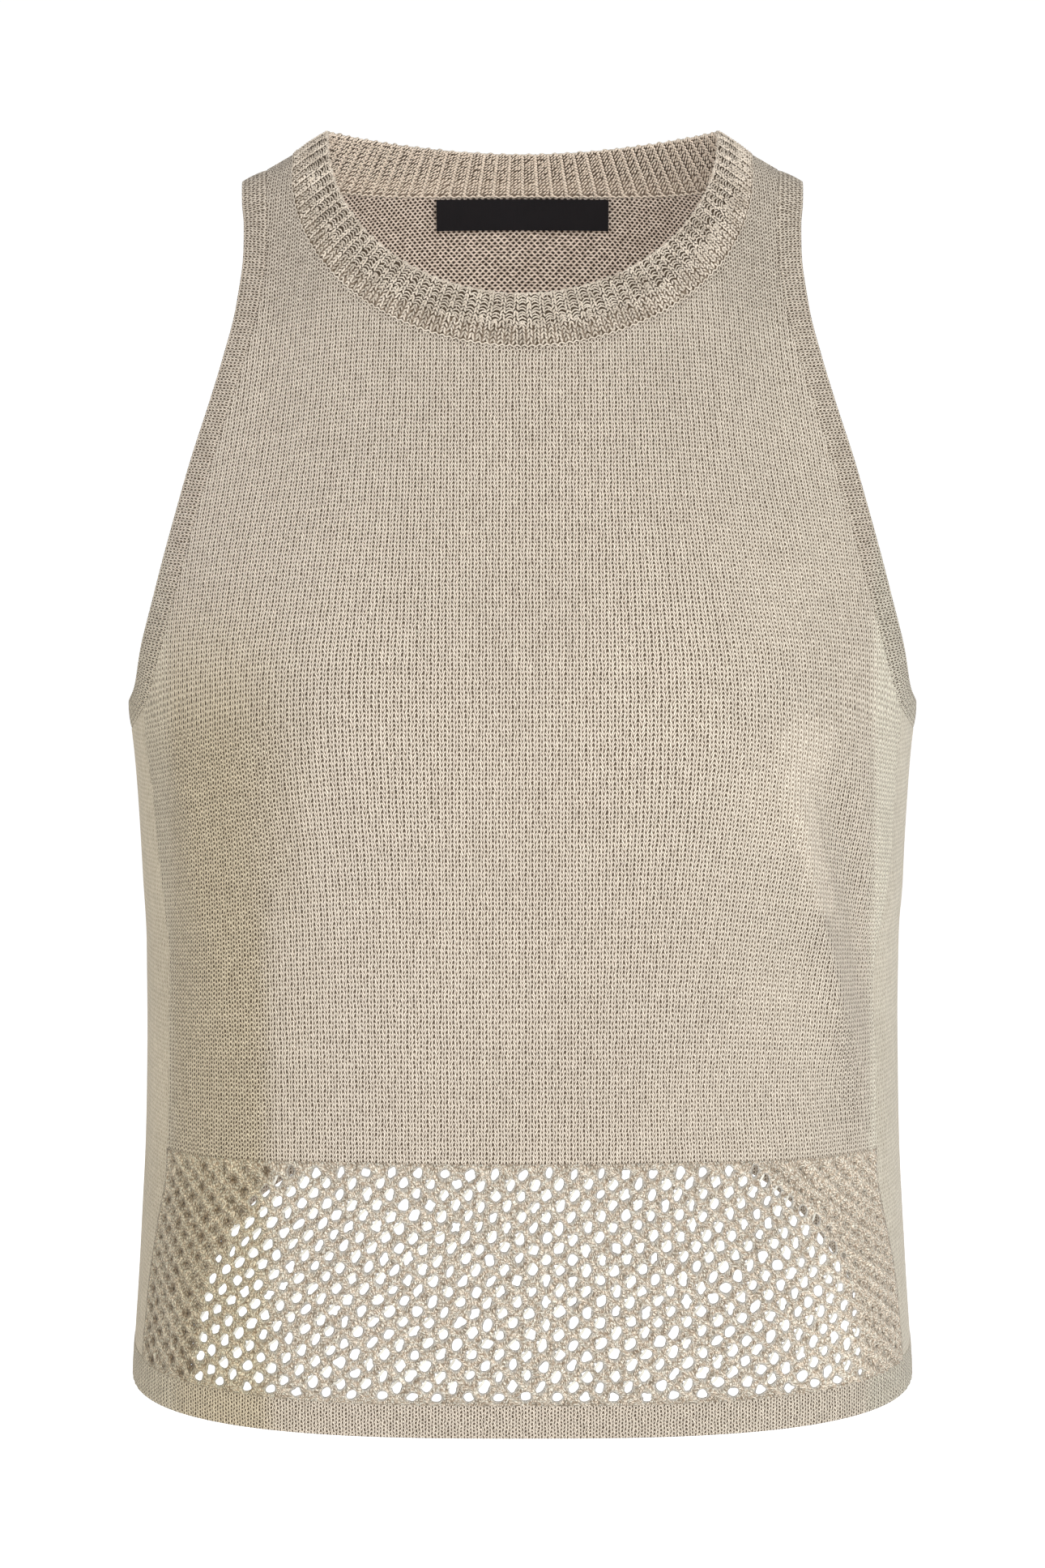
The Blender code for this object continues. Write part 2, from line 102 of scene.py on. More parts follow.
SHOULDER = [
    (0.0, 10.0, 36.0),
    (30.0, 8.0, 31.0),
    (52.0, 5.2, 18.0),
    (66.0, 2.4, 7.0),
    (74.8, 0.0, 0.0),
    (82.8, -5.0, -5.0),
    (89.0, -9.5, -9.5),
    (95.4, -13.5, -13.5),
    (101.7, -16.3, -16.3),
    (108.2, -19.5, -19.5),
    (130.0, -30.0, -30.0),
    (160.0, -46.0, -46.0),
]
DEPTH = [
    (0.0, 0.0, 0.0),
    (4.0, 12.0, 12.0),
    (10.0, 19.5, 19.5),
    (20.0, 29.0, 30.0),
    (43.0, 47.5, 49.5),
    (70.0, 66.0, 65.0),
    (100.0, 82.0, 77.0),
    (140.0, 98.0, 91.0),
    (180.0, 109.0, 100.0),
    (220.0, 115.5, 105.0),
    (260.0, 118.0, 106.0),
    (300.0, 117.0, 104.0),
    (350.0, 114.0, 102.0),
    (400.0, 111.0, 104.0),
    (450.0, 110.0, 108.0),
    (540.0, 109.5, 113.0),
]
ARM_SIDE = [
    (-35.0, 106.8, 97.4),
    (-50.0, 107.0, 97.8),
    (-65.0, 109.2, 100.2),
    (-82.0, 113.5, 104.8),
    (-100.0, 119.0, 110.4),
    (-120.0, 125.6, 117.0),
    (-140.0, 131.5, 123.0),
    (-160.0, 137.2, 128.8),
    (-178.0, 142.1, 133.8),
    (-193.0, 146.2, 138.0),
]
ARM_UNDER = [
    (-35.0, -212.0, -47.0, -217.0),
    (-17.0, -219.6, -22.0, -229.6),
    (0.0, -222.4, 0.0, -233.0),
]
ARM_TIP = (108.2, 98.4)

# x0, z0, x1, z1, half_width, height: soft folds, heights outward.
FRONT_FOLDS = [
    (98.0, -240.0, 125.0, -352.0, 9.0, 2.0),
    (112.0, -232.0, 136.0, -345.0, 8.0, -2.2),
    (130.0, -238.0, 142.0, -300.0, 7.0, 1.2),
    (116.0, -345.0, 134.0, -430.0, 11.0, -1.8),
    (-128.0, -236.0, -118.0, -335.0, 12.0, 1.2),
    (-140.0, -240.0, -134.0, -330.0, 8.0, -1.2),
    (-60.0, -120.0, -124.0, -222.0, 26.0, -1.2),
    (58.0, -118.0, 126.0, -222.0, 26.0, -1.0),
]
BACK_FOLDS = [
    (96.0, -250.0, 124.0, -370.0, 12.0, 1.8),
    (112.0, -240.0, 138.0, -350.0, 9.0, -1.8),
    (-100.0, -255.0, -122.0, -360.0, 12.0, 1.6),
    (-50.0, -330.0, -20.0, -430.0, 20.0, -1.4),
]
# creases too fine for the CAD walls, same columns
FRONT_CREASES = [
    (103.0, -244.0, 111.0, -285.0, 3.2, 0.9),
    (111.0, -285.0, 121.0, -336.0, 3.0, 1.1),
    (108.0, -262.0, 118.0, -300.0, 2.6, -0.8),
    (124.0, -262.0, 131.0, -330.0, 3.4, -0.7),
    (-132.0, -232.0, -124.0, -262.0, 4.0, 0.6),
    (-127.0, -262.0, -121.0, -300.0, 4.5, 0.5),
]
BACK_CREASES = [
    (102.0, -262.0, 116.0, -318.0, 4.0, 0.8),
    (-106.0, -270.0, -118.0, -330.0, 4.5, 0.8),
    (-70.0, -300.0, -40.0, -372.0, 7.0, -0.7),
    (20.0, -350.0, 60.0, -410.0, 9.0, 0.6),
]

# z, course: height of a row of stitches along the cloth
COURSES = [(-500.0, 1.85), (-382.0, 1.80), (-357.0, 1.90), (-334.0, 2.00),
           (-312.0, 1.93), (-268.0, 1.83), (-224.0, 1.79), (-203.0, 1.76),
           (-181.0, 1.66), (-160.0, 1.60), (-138.0, 1.60), (-92.0, 1.66),
           (20.0, 1.66)]
# z, drop: how far the rows hang down towards the sides
DROPS = [(-490.0, 0.0), (-450.0, 0.6), (-420.0, 2.6), (-382.0, 6.6),
         (-357.0, 9.5), (-334.0, 14.5), (-312.0, 18.0), (-290.0, 21.0),
         (-246.0, 23.0), (-224.0, 22.0), (-203.0, 16.0), (-181.0, 13.0),
         (-160.0, 14.0), (-138.0, 17.0), (-115.0, 26.0), (-92.0, 30.0),
         (20.0, 26.0)]
# z, right, left: how far the columns lean outward at the side of the chest
LEANS = [(-490.0, 0.0, 0.0), (-382.0, 0.0, -5.0), (-357.0, 0.3, -7.0),
         (-340.0, 0.6, -5.5), (-312.0, 1.2, -2.0), (-290.0, 1.8, 2.0),
         (-268.0, 3.2, 6.0), (-240.0, 7.0, 10.5), (-215.0, 9.3, 12.5),
         (-203.0, 9.5, 12.5), (-190.0, 8.6, 11.5), (-175.0, 6.2, 8.6),
         (-150.0, 1.6, 3.4), (-125.0, -3.6, -2.4), (-92.0, -9.0, -8.4),
         (-60.0, -12.0, -12.0), (-20.0, -14.0, -14.0), (20.0, -14.0, -14.0)]


# ---------------------------------------------------------------- curves
def fit(rows, key, value):
    """Monotone cubic through two columns of a table: knots, values, slopes."""
    data = sorted((row[key], row[value]) for row in rows)
    x = np.array([d[0] for d in data])
    y = np.array([d[1] for d in data])
    h = np.diff(x)
    d = np.diff(y) / h
    m = np.zeros(len(x))
    m[0], m[-1] = d[0], d[-1]
    for i in range(1, len(x) - 1):
        if d[i - 1] * d[i] > 0:
            w1, w2 = 2 * h[i] + h[i - 1], h[i] + 2 * h[i - 1]
            m[i] = (w1 + w2) / (w1 / d[i - 1] + w2 / d[i])
    return x, y, m


def read(curve, at):
    x, y, m = curve
    at = np.clip(np.asarray(at, float), x[0], x[-1])
    i = np.clip(np.searchsorted(x, at) - 1, 0, len(x) - 2)
    h = x[i + 1] - x[i]
    t = (at - x[i]) / h
    return ((1 + 2 * t) * (1 - t) ** 2 * y[i]
            + t * (1 - t) ** 2 * h * m[i]
            + t * t * (3 - 2 * t) * y[i + 1]
            + t * t * (t - 1) * h * m[i + 1])


HALF_WIDTH = fit(SECTIONS, 0, 1)
EXPONENT = fit(SECTIONS, 0, 2)
SEAM_Y = fit(SECTIONS, 0, 3)
SHOULDER_FRONT = fit(SHOULDER, 0, 1)
SHOULDER_BACK = fit(SHOULDER, 0, 2)
ROOT_DEPTH = [(math.sqrt(row[0]), row[1], row[2]) for row in DEPTH]
DEPTH_FRONT = fit(ROOT_DEPTH, 0, 1)
DEPTH_BACK = fit(ROOT_DEPTH, 0, 2)
COURSE_AT = fit(COURSES, 0, 1)
DROP_AT = fit(DROPS, 0, 1)
LEAN_RIGHT = fit(LEANS, 0, 1)
LEAN_LEFT = fit(LEANS, 0, 2)


def smooth_step(t):
    t = np.clip(t, 0.0, 1.0)
    return t * t * (3 - 2 * t)


def ramp(x, low, high):
    return smooth_step((np.asarray(x, float) - low) / (high - low))


# ---------------------------------------------------------------- body form
def form(psi, z):
    psi, z = np.broadcast_arrays(np.asarray(psi, float), np.asarray(z, float))
    a, n = read(HALF_WIDTH, z), read(EXPONENT, z)
    x = a * np.maximum(np.cos(psi), 0.0) ** (2 / n)
    share = np.abs(np.sin(psi)) ** (2 / n)
    front = psi >= 0
    shoulder = np.where(front, read(SHOULDER_FRONT, x), read(SHOULDER_BACK, x))
    root = np.sqrt(np.maximum(shoulder - z, 0.0))
    y = np.where(front, -read(DEPTH_FRONT, root), read(DEPTH_BACK, root)) * share
    return np.stack([x, y, z], -1)


def psi_at_x(x, z, side):
    a, n = read(HALF_WIDTH, z), read(EXPONENT, z)
    return side * np.arccos(np.clip(x / a, 0.0, 1.0) ** (n / 2))


def psi_at_y(y, z):
    y, z = np.broadcast_arrays(np.asarray(y, float), np.asarray(z, float))
    side = np.where(y <= 0, 1.0, -1.0)
    low, high = np.zeros(y.shape), np.full(y.shape, HALF_PI)
    for _ in range(45):
        mid = (low + high) / 2
        less = np.abs(form(side * mid, z)[..., 1]) < np.abs(y)
        low, high = np.where(less, mid, low), np.where(less, high, mid)
    return side * (low + high) / 2


def fold_height(x, z, folds):
    """Sum of the soft ridges and troughs at (x, z)."""
    total = np.zeros(np.shape(x))
    for x0, z0, x1, z1, width, height in folds:
        dx, dz = x1 - x0, z1 - z0
        t = ((x - x0) * dx + (z - z0) * dz) / (dx * dx + dz * dz)
        near = np.clip(t, 0.0, 1.0)
        off = np.hypot(x - x0 - near * dx, z - z0 - near * dz)
        ends = smooth_step(t * 3 + 0.4) * smooth_step((1 - t) * 3 + 0.4)
        total = total + height * ends * np.exp(-((off / width) ** 2))
    return total


def place(psi, z, mirror=1.0, out=0.0, creases=True):
    """Points of the cloth at (psi, z), with its folds."""
    psi, z, mirror = np.broadcast_arrays(
        np.asarray(psi, float), np.asarray(z, float), np.asarray(mirror, float))
    step = 0.02
    here = form(psi, z)
    side = np.where(psi < 0, -1.0, 1.0)
    around = form(psi - side * step, z) - here
    down = form(psi, z - 1.0) - here
    normal = np.cross(around, down) * side[..., None]
    size = np.linalg.norm(normal, axis=-1)
    good = (size > 1e-9) & (np.abs(here[..., 1]) > 0.5)
    normal = normal / np.maximum(size, 1e-9)[..., None]
    flip = normal[..., 0] * here[..., 0] + normal[..., 1] * here[..., 1] < 0
    normal = np.where(flip[..., None], -normal, normal)
    normal = np.where(good[..., None], normal, np.array((0.35, 0.0, 0.937)))
    front_set = FRONT_FOLDS + (FRONT_CREASES if creases else [])
    back_set = BACK_FOLDS + (BACK_CREASES if creases else [])
    x = mirror * here[..., 0]
    lift = np.where(psi >= 0, fold_height(x, z, front_set), fold_height(x, z, back_set))
    point = here + normal * (out + lift)[..., None]
    return np.stack([mirror * point[..., 0], point[..., 1], point[..., 2]], -1)


# ---------------------------------------------------------------- seam lines
def neck_seam(t, side):
    t = np.asarray(t, float)
    half = SEAM_HALF
    top = float(read(SHOULDER_FRONT, half))
    if side > 0:
        arc = 0.93
        angle = HALF_PI * np.minimum(t / arc, 1.0)
        x = half * np.sin(angle)
        z = np.where(t < arc, SEAM_MID_Z - SEAM_DROP * np.cos(angle),
                     SEAM_MID_Z + (top - SEAM_MID_Z) * (t - arc) / (1 - arc))
    else:
        angle = HALF_PI * t
        x = half * np.sin(angle)
        z = top + BACK_SEAM_Z[1] * (1 - (x / half) ** 4) ** (1 / 3)
    return psi_at_x(x, z, side), z


def neck_edge(t, side):
    angle = HALF_PI * np.asarray(t, float)
    x = NECK_HALF * np.sin(angle)
    if side > 0:
        z = -NECK_DROP * np.cos(angle)
    else:
        z = -NECK_BACK_DROP * np.cos(angle) ** 2
    return psi_at_x(x, z, side), z


def arm_curves(side):
    """Smooth curves of the armhole band: t from 0 at the shoulder to 1 under
    the arm, on the front (side +1) or the back (side -1)."""
    rows = []
    for drop in (0.0, 2.5, 8.0):
        edge_x, seam_x = ARM_TIP[0] - 0.06 * drop, ARM_TIP[1] - 0.04 * drop
        edge_z = float(read(SHOULDER_FRONT, edge_x)) - drop
        seam_z = float(read(SHOULDER_FRONT, seam_x)) - drop
        rows.append((float(psi_at_x(edge_x, edge_z, 1)), edge_z,
                     float(psi_at_x(seam_x, seam_z, 1)), seam_z))
    for z, edge_x, seam_x in ARM_SIDE:
        rows.append((float(psi_at_x(edge_x, z, 1)), z, float(psi_at_x(seam_x, z, 1)), z))
    for edge_y, edge_z, seam_y, seam_z in ARM_UNDER:
        rows.append((float(psi_at_y(edge_y, edge_z)), edge_z,
                     float(psi_at_y(seam_y, seam_z)), seam_z))
    points = []
    for edge_psi, edge_z, seam_psi_, seam_z in rows:
        if side < 0:
            edge_psi = -float(psi_at_x(form(edge_psi, edge_z)[0], edge_z, 1))
            seam_psi_ = -float(psi_at_x(form(seam_psi_, seam_z)[0], seam_z, 1))
        points.append((edge_psi, edge_z, seam_psi_, seam_z))
    run = [0.0]
    for before, after in zip(points, points[1:]):
        gap = form(after[0], after[1]) - form(before[0], before[1])
        run.append(run[-1] + float(np.linalg.norm(gap)))
    table = [(r / run[-1],) + p for r, p in zip(run, points)]
    return [fit(table, 0, column) for column in (1, 2, 3, 4)]


ARM_FRONT = arm_curves(1)
ARM_BACK = arm_curves(-1)


def arm_seam(curves, t):
    return np.stack([read(curves[2], t), read(curves[3], t)], -1)


def find_split():
    """t on the front armhole seam where the side seam starts."""
    low, high = 0.5, 1.0
    for _ in range(40):
        mid = (low + high) / 2
        psi, z = arm_seam(ARM_FRONT, mid)
        if form(psi, z)[1] < read(SEAM_Y, z):
            low = mid
        else:
            high = mid
    return (low + high) / 2


SPLIT = find_split()


def seam_psi(z):
    return psi_at_y(read(SEAM_Y, z), z)


def rise(psi):
    share = np.maximum(np.cos(psi), 0.0) ** (2 / float(read(EXPONENT, HEM_Z)))
    return np.where(psi >= 0, 0.0,
                    BACK_RISE * (1 - np.minimum(share / RISE_END, 1.0) ** RISE_POWER))


# ---------------------------------------------------------------- charts
class Chart:
    """Lengths along the cloth, by (psi, z)."""

    STEPS = 240            # on the front, and as many on the back

    def __init__(self):
        t = np.arange(-self.STEPS, self.STEPS + 1) / self.STEPS
        self.psi = np.sign(t) * HALF_PI * (1 - np.cos(math.pi * t)) / 2
        self.z = np.linspace(-505.0, 12.0, 260)
        points = form(self.psi[:, None], self.z[None, :])
        step = np.linalg.norm(np.diff(points, axis=0), axis=-1)
        run = np.concatenate([np.zeros((1, len(self.z))), np.cumsum(step, axis=0)])
        self.from_back = run                       # from centre back
        self.from_front = run[-1] - run            # from centre front
        down = np.linalg.norm(np.diff(points, axis=1), axis=-1)
        mid = (self.z[1:] + self.z[:-1]) / 2
        rows = down / read(COURSE_AT, mid)[None, :]
        self.rows = np.concatenate(
            [np.zeros((len(self.psi), 1)), np.cumsum(rows, axis=1)], axis=1)
        length = np.concatenate(
            [np.zeros((len(self.psi), 1)), np.cumsum(down, axis=1)], axis=1)
        self.length = length

    def look(self, table, psi, z):
        share = np.clip(np.abs(psi) / HALF_PI, 0.0, 1.0)
        t = np.sign(psi) * np.arccos(1 - 2 * share) / math.pi
        i = np.clip(self.STEPS * (1 + t), 0, len(self.psi) - 1.0001)
        j = np.clip((z - self.z[0]) / (self.z[1] - self.z[0]), 0, len(self.z) - 1.001)
        i0, j0 = i.astype(int), j.astype(int)
        u, v = i - i0, j - j0
        return ((1 - u) * (1 - v) * table[i0, j0] + u * (1 - v) * table[i0 + 1, j0]
                + (1 - u) * v * table[i0, j0 + 1] + u * v * table[i0 + 1, j0 + 1])

    def psi_at_run(self, run, z):
        """psi on the front at a length from centre front."""
        run, z = np.broadcast_arrays(np.asarray(run, float), np.asarray(z, float))
        low, high = np.zeros(run.shape), np.full(run.shape, HALF_PI)
        for _ in range(26):
            mid = (low + high) / 2
            far = self.look(self.from_front, mid, z) > run
            low, high = np.where(far, mid, low), np.where(far, high, mid)
        return (low + high) / 2


CHART = Chart()


def course_drop(x, z):
    return read(DROP_AT, z) * (np.maximum(np.abs(x) - 40.0, 0.0) / 100.0) ** 2.2


def front_uv(psi, z, mirror):
    """Column and row of the stitch at a place on the front."""
    psi, z, mirror = np.broadcast_arrays(psi, z, mirror)
    run = CHART.look(CHART.from_front, psi, z)
    x = form(psi, z)[..., 0]
    lean = np.where(mirror > 0, read(LEAN_LEFT, z), read(LEAN_RIGHT, z))
    u = mirror * (run - lean * ramp(run, 15.0, 115.0)) / WALE
    v = CHART.look(CHART.rows, psi, z) + course_drop(x, z) / read(COURSE_AT, z)
    return np.stack([u, v], -1)


def back_uv(psi, z, mirror):
    psi, z, mirror = np.broadcast_arrays(psi, z, mirror)
    run = CHART.look(CHART.from_back, psi, z)
    x = form(psi, z)[..., 0]
    lean = read(LEAN_RIGHT, z) * (z > -240) + read(LEAN_RIGHT, -240.0) * (z <= -240)
    u = mirror * (run - lean * ramp(run, 15.0, 115.0) * ramp(z, -300.0, -240.0)) / WALE
    v = CHART.look(CHART.rows, psi, z) + 0.45 * course_drop(x, z) / read(COURSE_AT, z)
    return np.stack([u + 500.0, v], -1)


def painted_side_light(points):
    """Painted light and shade by side, 0 to 1: olive yellows and darkens the left of the front, partly
    painted shade where less light falls; pale is painted light on the right of the front and on the
    side strips.
    """
    x, y, z = points[:, 0], points[:, 1], points[:, 2]
    low = ramp(-z, 262, 300)
    olive_painted_shade = 0.4 * ramp(-x, 62, 118) + 0.6 * (low * ramp(-x, 92, 103)
                                             + (1 - low) * ramp(-x, 72, 116))
    olive_painted_shade = olive_painted_shade * ramp(-z, 150, 235) * (1 - 0.25 * ramp(-x, 131, 137)) \
        * (1 - ramp(y, 0, 40))
    painted_light = 0.25 * ramp(x, 25, 105) + 0.85 * ramp(x, 131, 138) + 0.35 * ramp(-x, 131, 138)
    return {"olive_painted_shade": olive_painted_shade, "painted_light": np.clip(painted_light, 0, 1)}


# ---------------------------------------------------------------- meshes
def make_object(name, points, faces, slots, face_slot=None, uv=None, values=None,
                sharp=None):
    mesh = bpy.data.meshes.new(name)
    mesh.from_pydata((np.asarray(points) * MM).tolist(), [],
                     [tuple(int(i) for i in face) for face in faces])
    for material in slots:
        mesh.materials.append(material)
    count = len(mesh.polygons)
    if face_slot is not None:
        mesh.polygons.foreach_set("material_index", np.asarray(face_slot, np.int32))
    mesh.polygons.foreach_set("use_smooth", np.ones(count, bool))
    if uv is not None:
        layer = mesh.uv_layers.new(name="UVMap")
        index = np.empty(len(mesh.loops), np.int32)
        mesh.loops.foreach_get("vertex_index", index)
        layer.data.foreach_set("uv", np.asarray(uv, np.float32)[index].ravel())
    for key, value in (values or {}).items():
        layer = mesh.attributes.new(key, "FLOAT", "POINT")
        layer.data.foreach_set("value", np.asarray(value, np.float32))
    if sharp is not None:
        mesh.set_sharp_from_angle(angle=math.radians(sharp))
    mesh.update()
    obj = bpy.data.objects.new(name, mesh)
    bpy.context.scene.collection.objects.link(obj)
    return obj


class Cloth:
    """Grids of quads that share points, thickened into one closed shell."""

    def __init__(self):
        self.points, self.uv, self.tone, self.quads = [], [], [], []
        self.count = 0

    def add_points(self, points, uv, tone):
        ids = np.arange(self.count, self.count + len(points))
        self.points.append(points)
        self.uv.append(uv)
        self.tone.append(tone)
        self.count += len(points)
        return ids

    def grid(self, points, uv, tone, first=None, ring=False):
        rows, cols = points.shape[:2]
        ids = self.add_points(points.reshape(-1, 3), uv.reshape(-1, 2),
                              np.broadcast_to(tone, (rows, cols)).reshape(-1))
        ids = ids.reshape(rows, cols)
        if first is not None:
            ids = np.concatenate([np.asarray(first)[None, :], ids])
        right = np.roll(ids, -1, axis=1) if ring else ids[:, 1:]
        left = ids if ring else ids[:, :-1]
        quads = np.stack([left[:-1], right[:-1], right[1:], left[1:]], -1)
        self.quads.append(quads.reshape(-1, 4))
        return ids

    def normals(self, points, quads):
        normal = np.zeros(points.shape)
        a, b, c, d = (points[quads[:, k]] for k in range(4))
        face = np.cross(c - a, d - b)
        for k in range(4):
            np.add.at(normal, quads[:, k], face)
        return normal / np.maximum(np.linalg.norm(normal, axis=1), 1e-9)[:, None]

    def shell(self, name, thickness, outer, inner, relief=0.0, inner_relief=0.0,
              sharp=50):
        points = np.concatenate(self.points)
        uv, tone = np.concatenate(self.uv), np.concatenate(self.tone)
        quads = np.concatenate(self.quads)
        normal = self.normals(points, quads)
        away = points * np.array((1.0, 1.0, 0.0))
        if (normal * away).sum() < 0:
            quads, normal = quads[:, ::-1], -normal
        half = np.broadcast_to(np.asarray(thickness, float) / 2, (len(points),))
        out = points + normal * (half + relief)[:, None]
        ins = points - normal * (half + inner_relief)[:, None]
        count = len(points)
        edges = np.concatenate([np.stack([quads[:, k], quads[:, (k + 1) % 4]], -1)
                                for k in range(4)])
        key = edges[:, 0].astype(np.int64) * count + edges[:, 1]
        back = edges[:, 1].astype(np.int64) * count + edges[:, 0]
        rim = edges[~np.isin(back, key)]
        rim_faces = np.stack([rim[:, 1], rim[:, 0], rim[:, 0] + count,
                              rim[:, 1] + count], -1)
        faces = np.concatenate([quads, quads[:, ::-1] + count, rim_faces])
        slot = np.concatenate([np.zeros(len(quads)), np.ones(len(quads)),
                               np.zeros(len(rim_faces))])
        points = np.concatenate([out, ins])
        return make_object(name, points, faces, [outer, inner], slot,
                           np.concatenate([uv, uv]),
                           {"tone": np.concatenate([tone, tone]), **painted_side_light(points)},
                           sharp)


class Yarns:
    """Closed tubes of yarn, gathered into one mesh."""

    def __init__(self):
        self.points, self.faces, self.caps, self.uv = [], [], [], []
        self.count = 0

    def add(self, centres, normals, wide, high, sides=6):
        """centres and normals are (tubes, points, 3); wide lies in the cloth
        and high stands off it, each one number or (tubes, points)."""
        tubes, spots = centres.shape[:2]
        along = np.gradient(centres, axis=1)
        along /= np.maximum(np.linalg.norm(along, axis=-1, keepdims=True), 1e-9)
        across = np.cross(along, normals)
        across /= np.maximum(np.linalg.norm(across, axis=-1, keepdims=True), 1e-9)
        up = np.cross(across, along)
        wide = np.broadcast_to(wide, (tubes, spots))[..., None, None]
        high = np.broadcast_to(high, (tubes, spots))[..., None, None]
        angle = np.arange(sides) * 2 * math.pi / sides
        ring = (np.cos(angle)[:, None] * across[..., None, :] * wide
                + np.sin(angle)[:, None] * up[..., None, :] * high)
        points = centres[..., None, :] + ring
        step = np.linalg.norm(np.diff(centres, axis=1), axis=-1)
        run = np.concatenate([np.zeros((tubes, 1)), np.cumsum(step, axis=1)], axis=1)
        run = run + RNG.random((tubes, 1)) * 50
        uv = np.stack(np.broadcast_arrays(run[..., None], angle / (2 * math.pi)), -1)
        ids = (self.count + np.arange(tubes * spots * sides)).reshape(tubes, spots, sides)
        nxt = np.roll(ids, -1, axis=2)
        quads = np.stack([ids[:, :-1], ids[:, 1:], nxt[:, 1:], nxt[:, :-1]], -1)
        self.points.append(points.reshape(-1, 3))
        self.uv.append(uv.reshape(-1, 2))
        self.faces.append(quads.reshape(-1, 4))
        self.caps += [tuple(row) for row in ids[:, 0]]
        self.caps += [tuple(row) for row in ids[:, -1, ::-1]]
        self.count += tubes * spots * sides

    def add_ring(self, centres, normals, wide, high, sides=6):
        """One closed loop; centres and normals are (points, 3)."""
        spots = len(centres)
        along = np.roll(centres, -1, axis=0) - np.roll(centres, 1, axis=0)
        along /= np.maximum(np.linalg.norm(along, axis=-1, keepdims=True), 1e-9)
        across = np.cross(along, normals)
        across /= np.maximum(np.linalg.norm(across, axis=-1, keepdims=True), 1e-9)
        up = np.cross(across, along)
        wide = np.broadcast_to(wide, (spots,))[:, None, None]
        high = np.broadcast_to(high, (spots,))[:, None, None]
        angle = np.arange(sides) * 2 * math.pi / sides
        ring = (np.cos(angle)[:, None] * across[:, None, :] * wide
                + np.sin(angle)[:, None] * up[:, None, :] * high)
        points = centres[:, None, :] + ring
        run = np.cumsum(np.linalg.norm(centres - np.roll(centres, 1, axis=0), axis=-1))
        uv = np.stack(np.broadcast_arrays(run[:, None], angle / (2 * math.pi)), -1)
        ids = (self.count + np.arange(spots * sides)).reshape(spots, sides)
        nxt = np.roll(ids, -1, axis=1)
        quads = np.stack([ids, np.roll(ids, -1, axis=0), np.roll(nxt, -1, axis=0), nxt], -1)
        self.points.append(points.reshape(-1, 3))
        self.uv.append(uv.reshape(-1, 2))
        self.faces.append(quads.reshape(-1, 4))
        self.count += spots * sides

    def build(self, name, material, sharp=60):
        faces = [tuple(f) for f in np.concatenate(self.faces).tolist()] + self.caps
        return make_object(name, np.concatenate(self.points), faces, [material],
                           None, np.concatenate(self.uv), None, sharp)


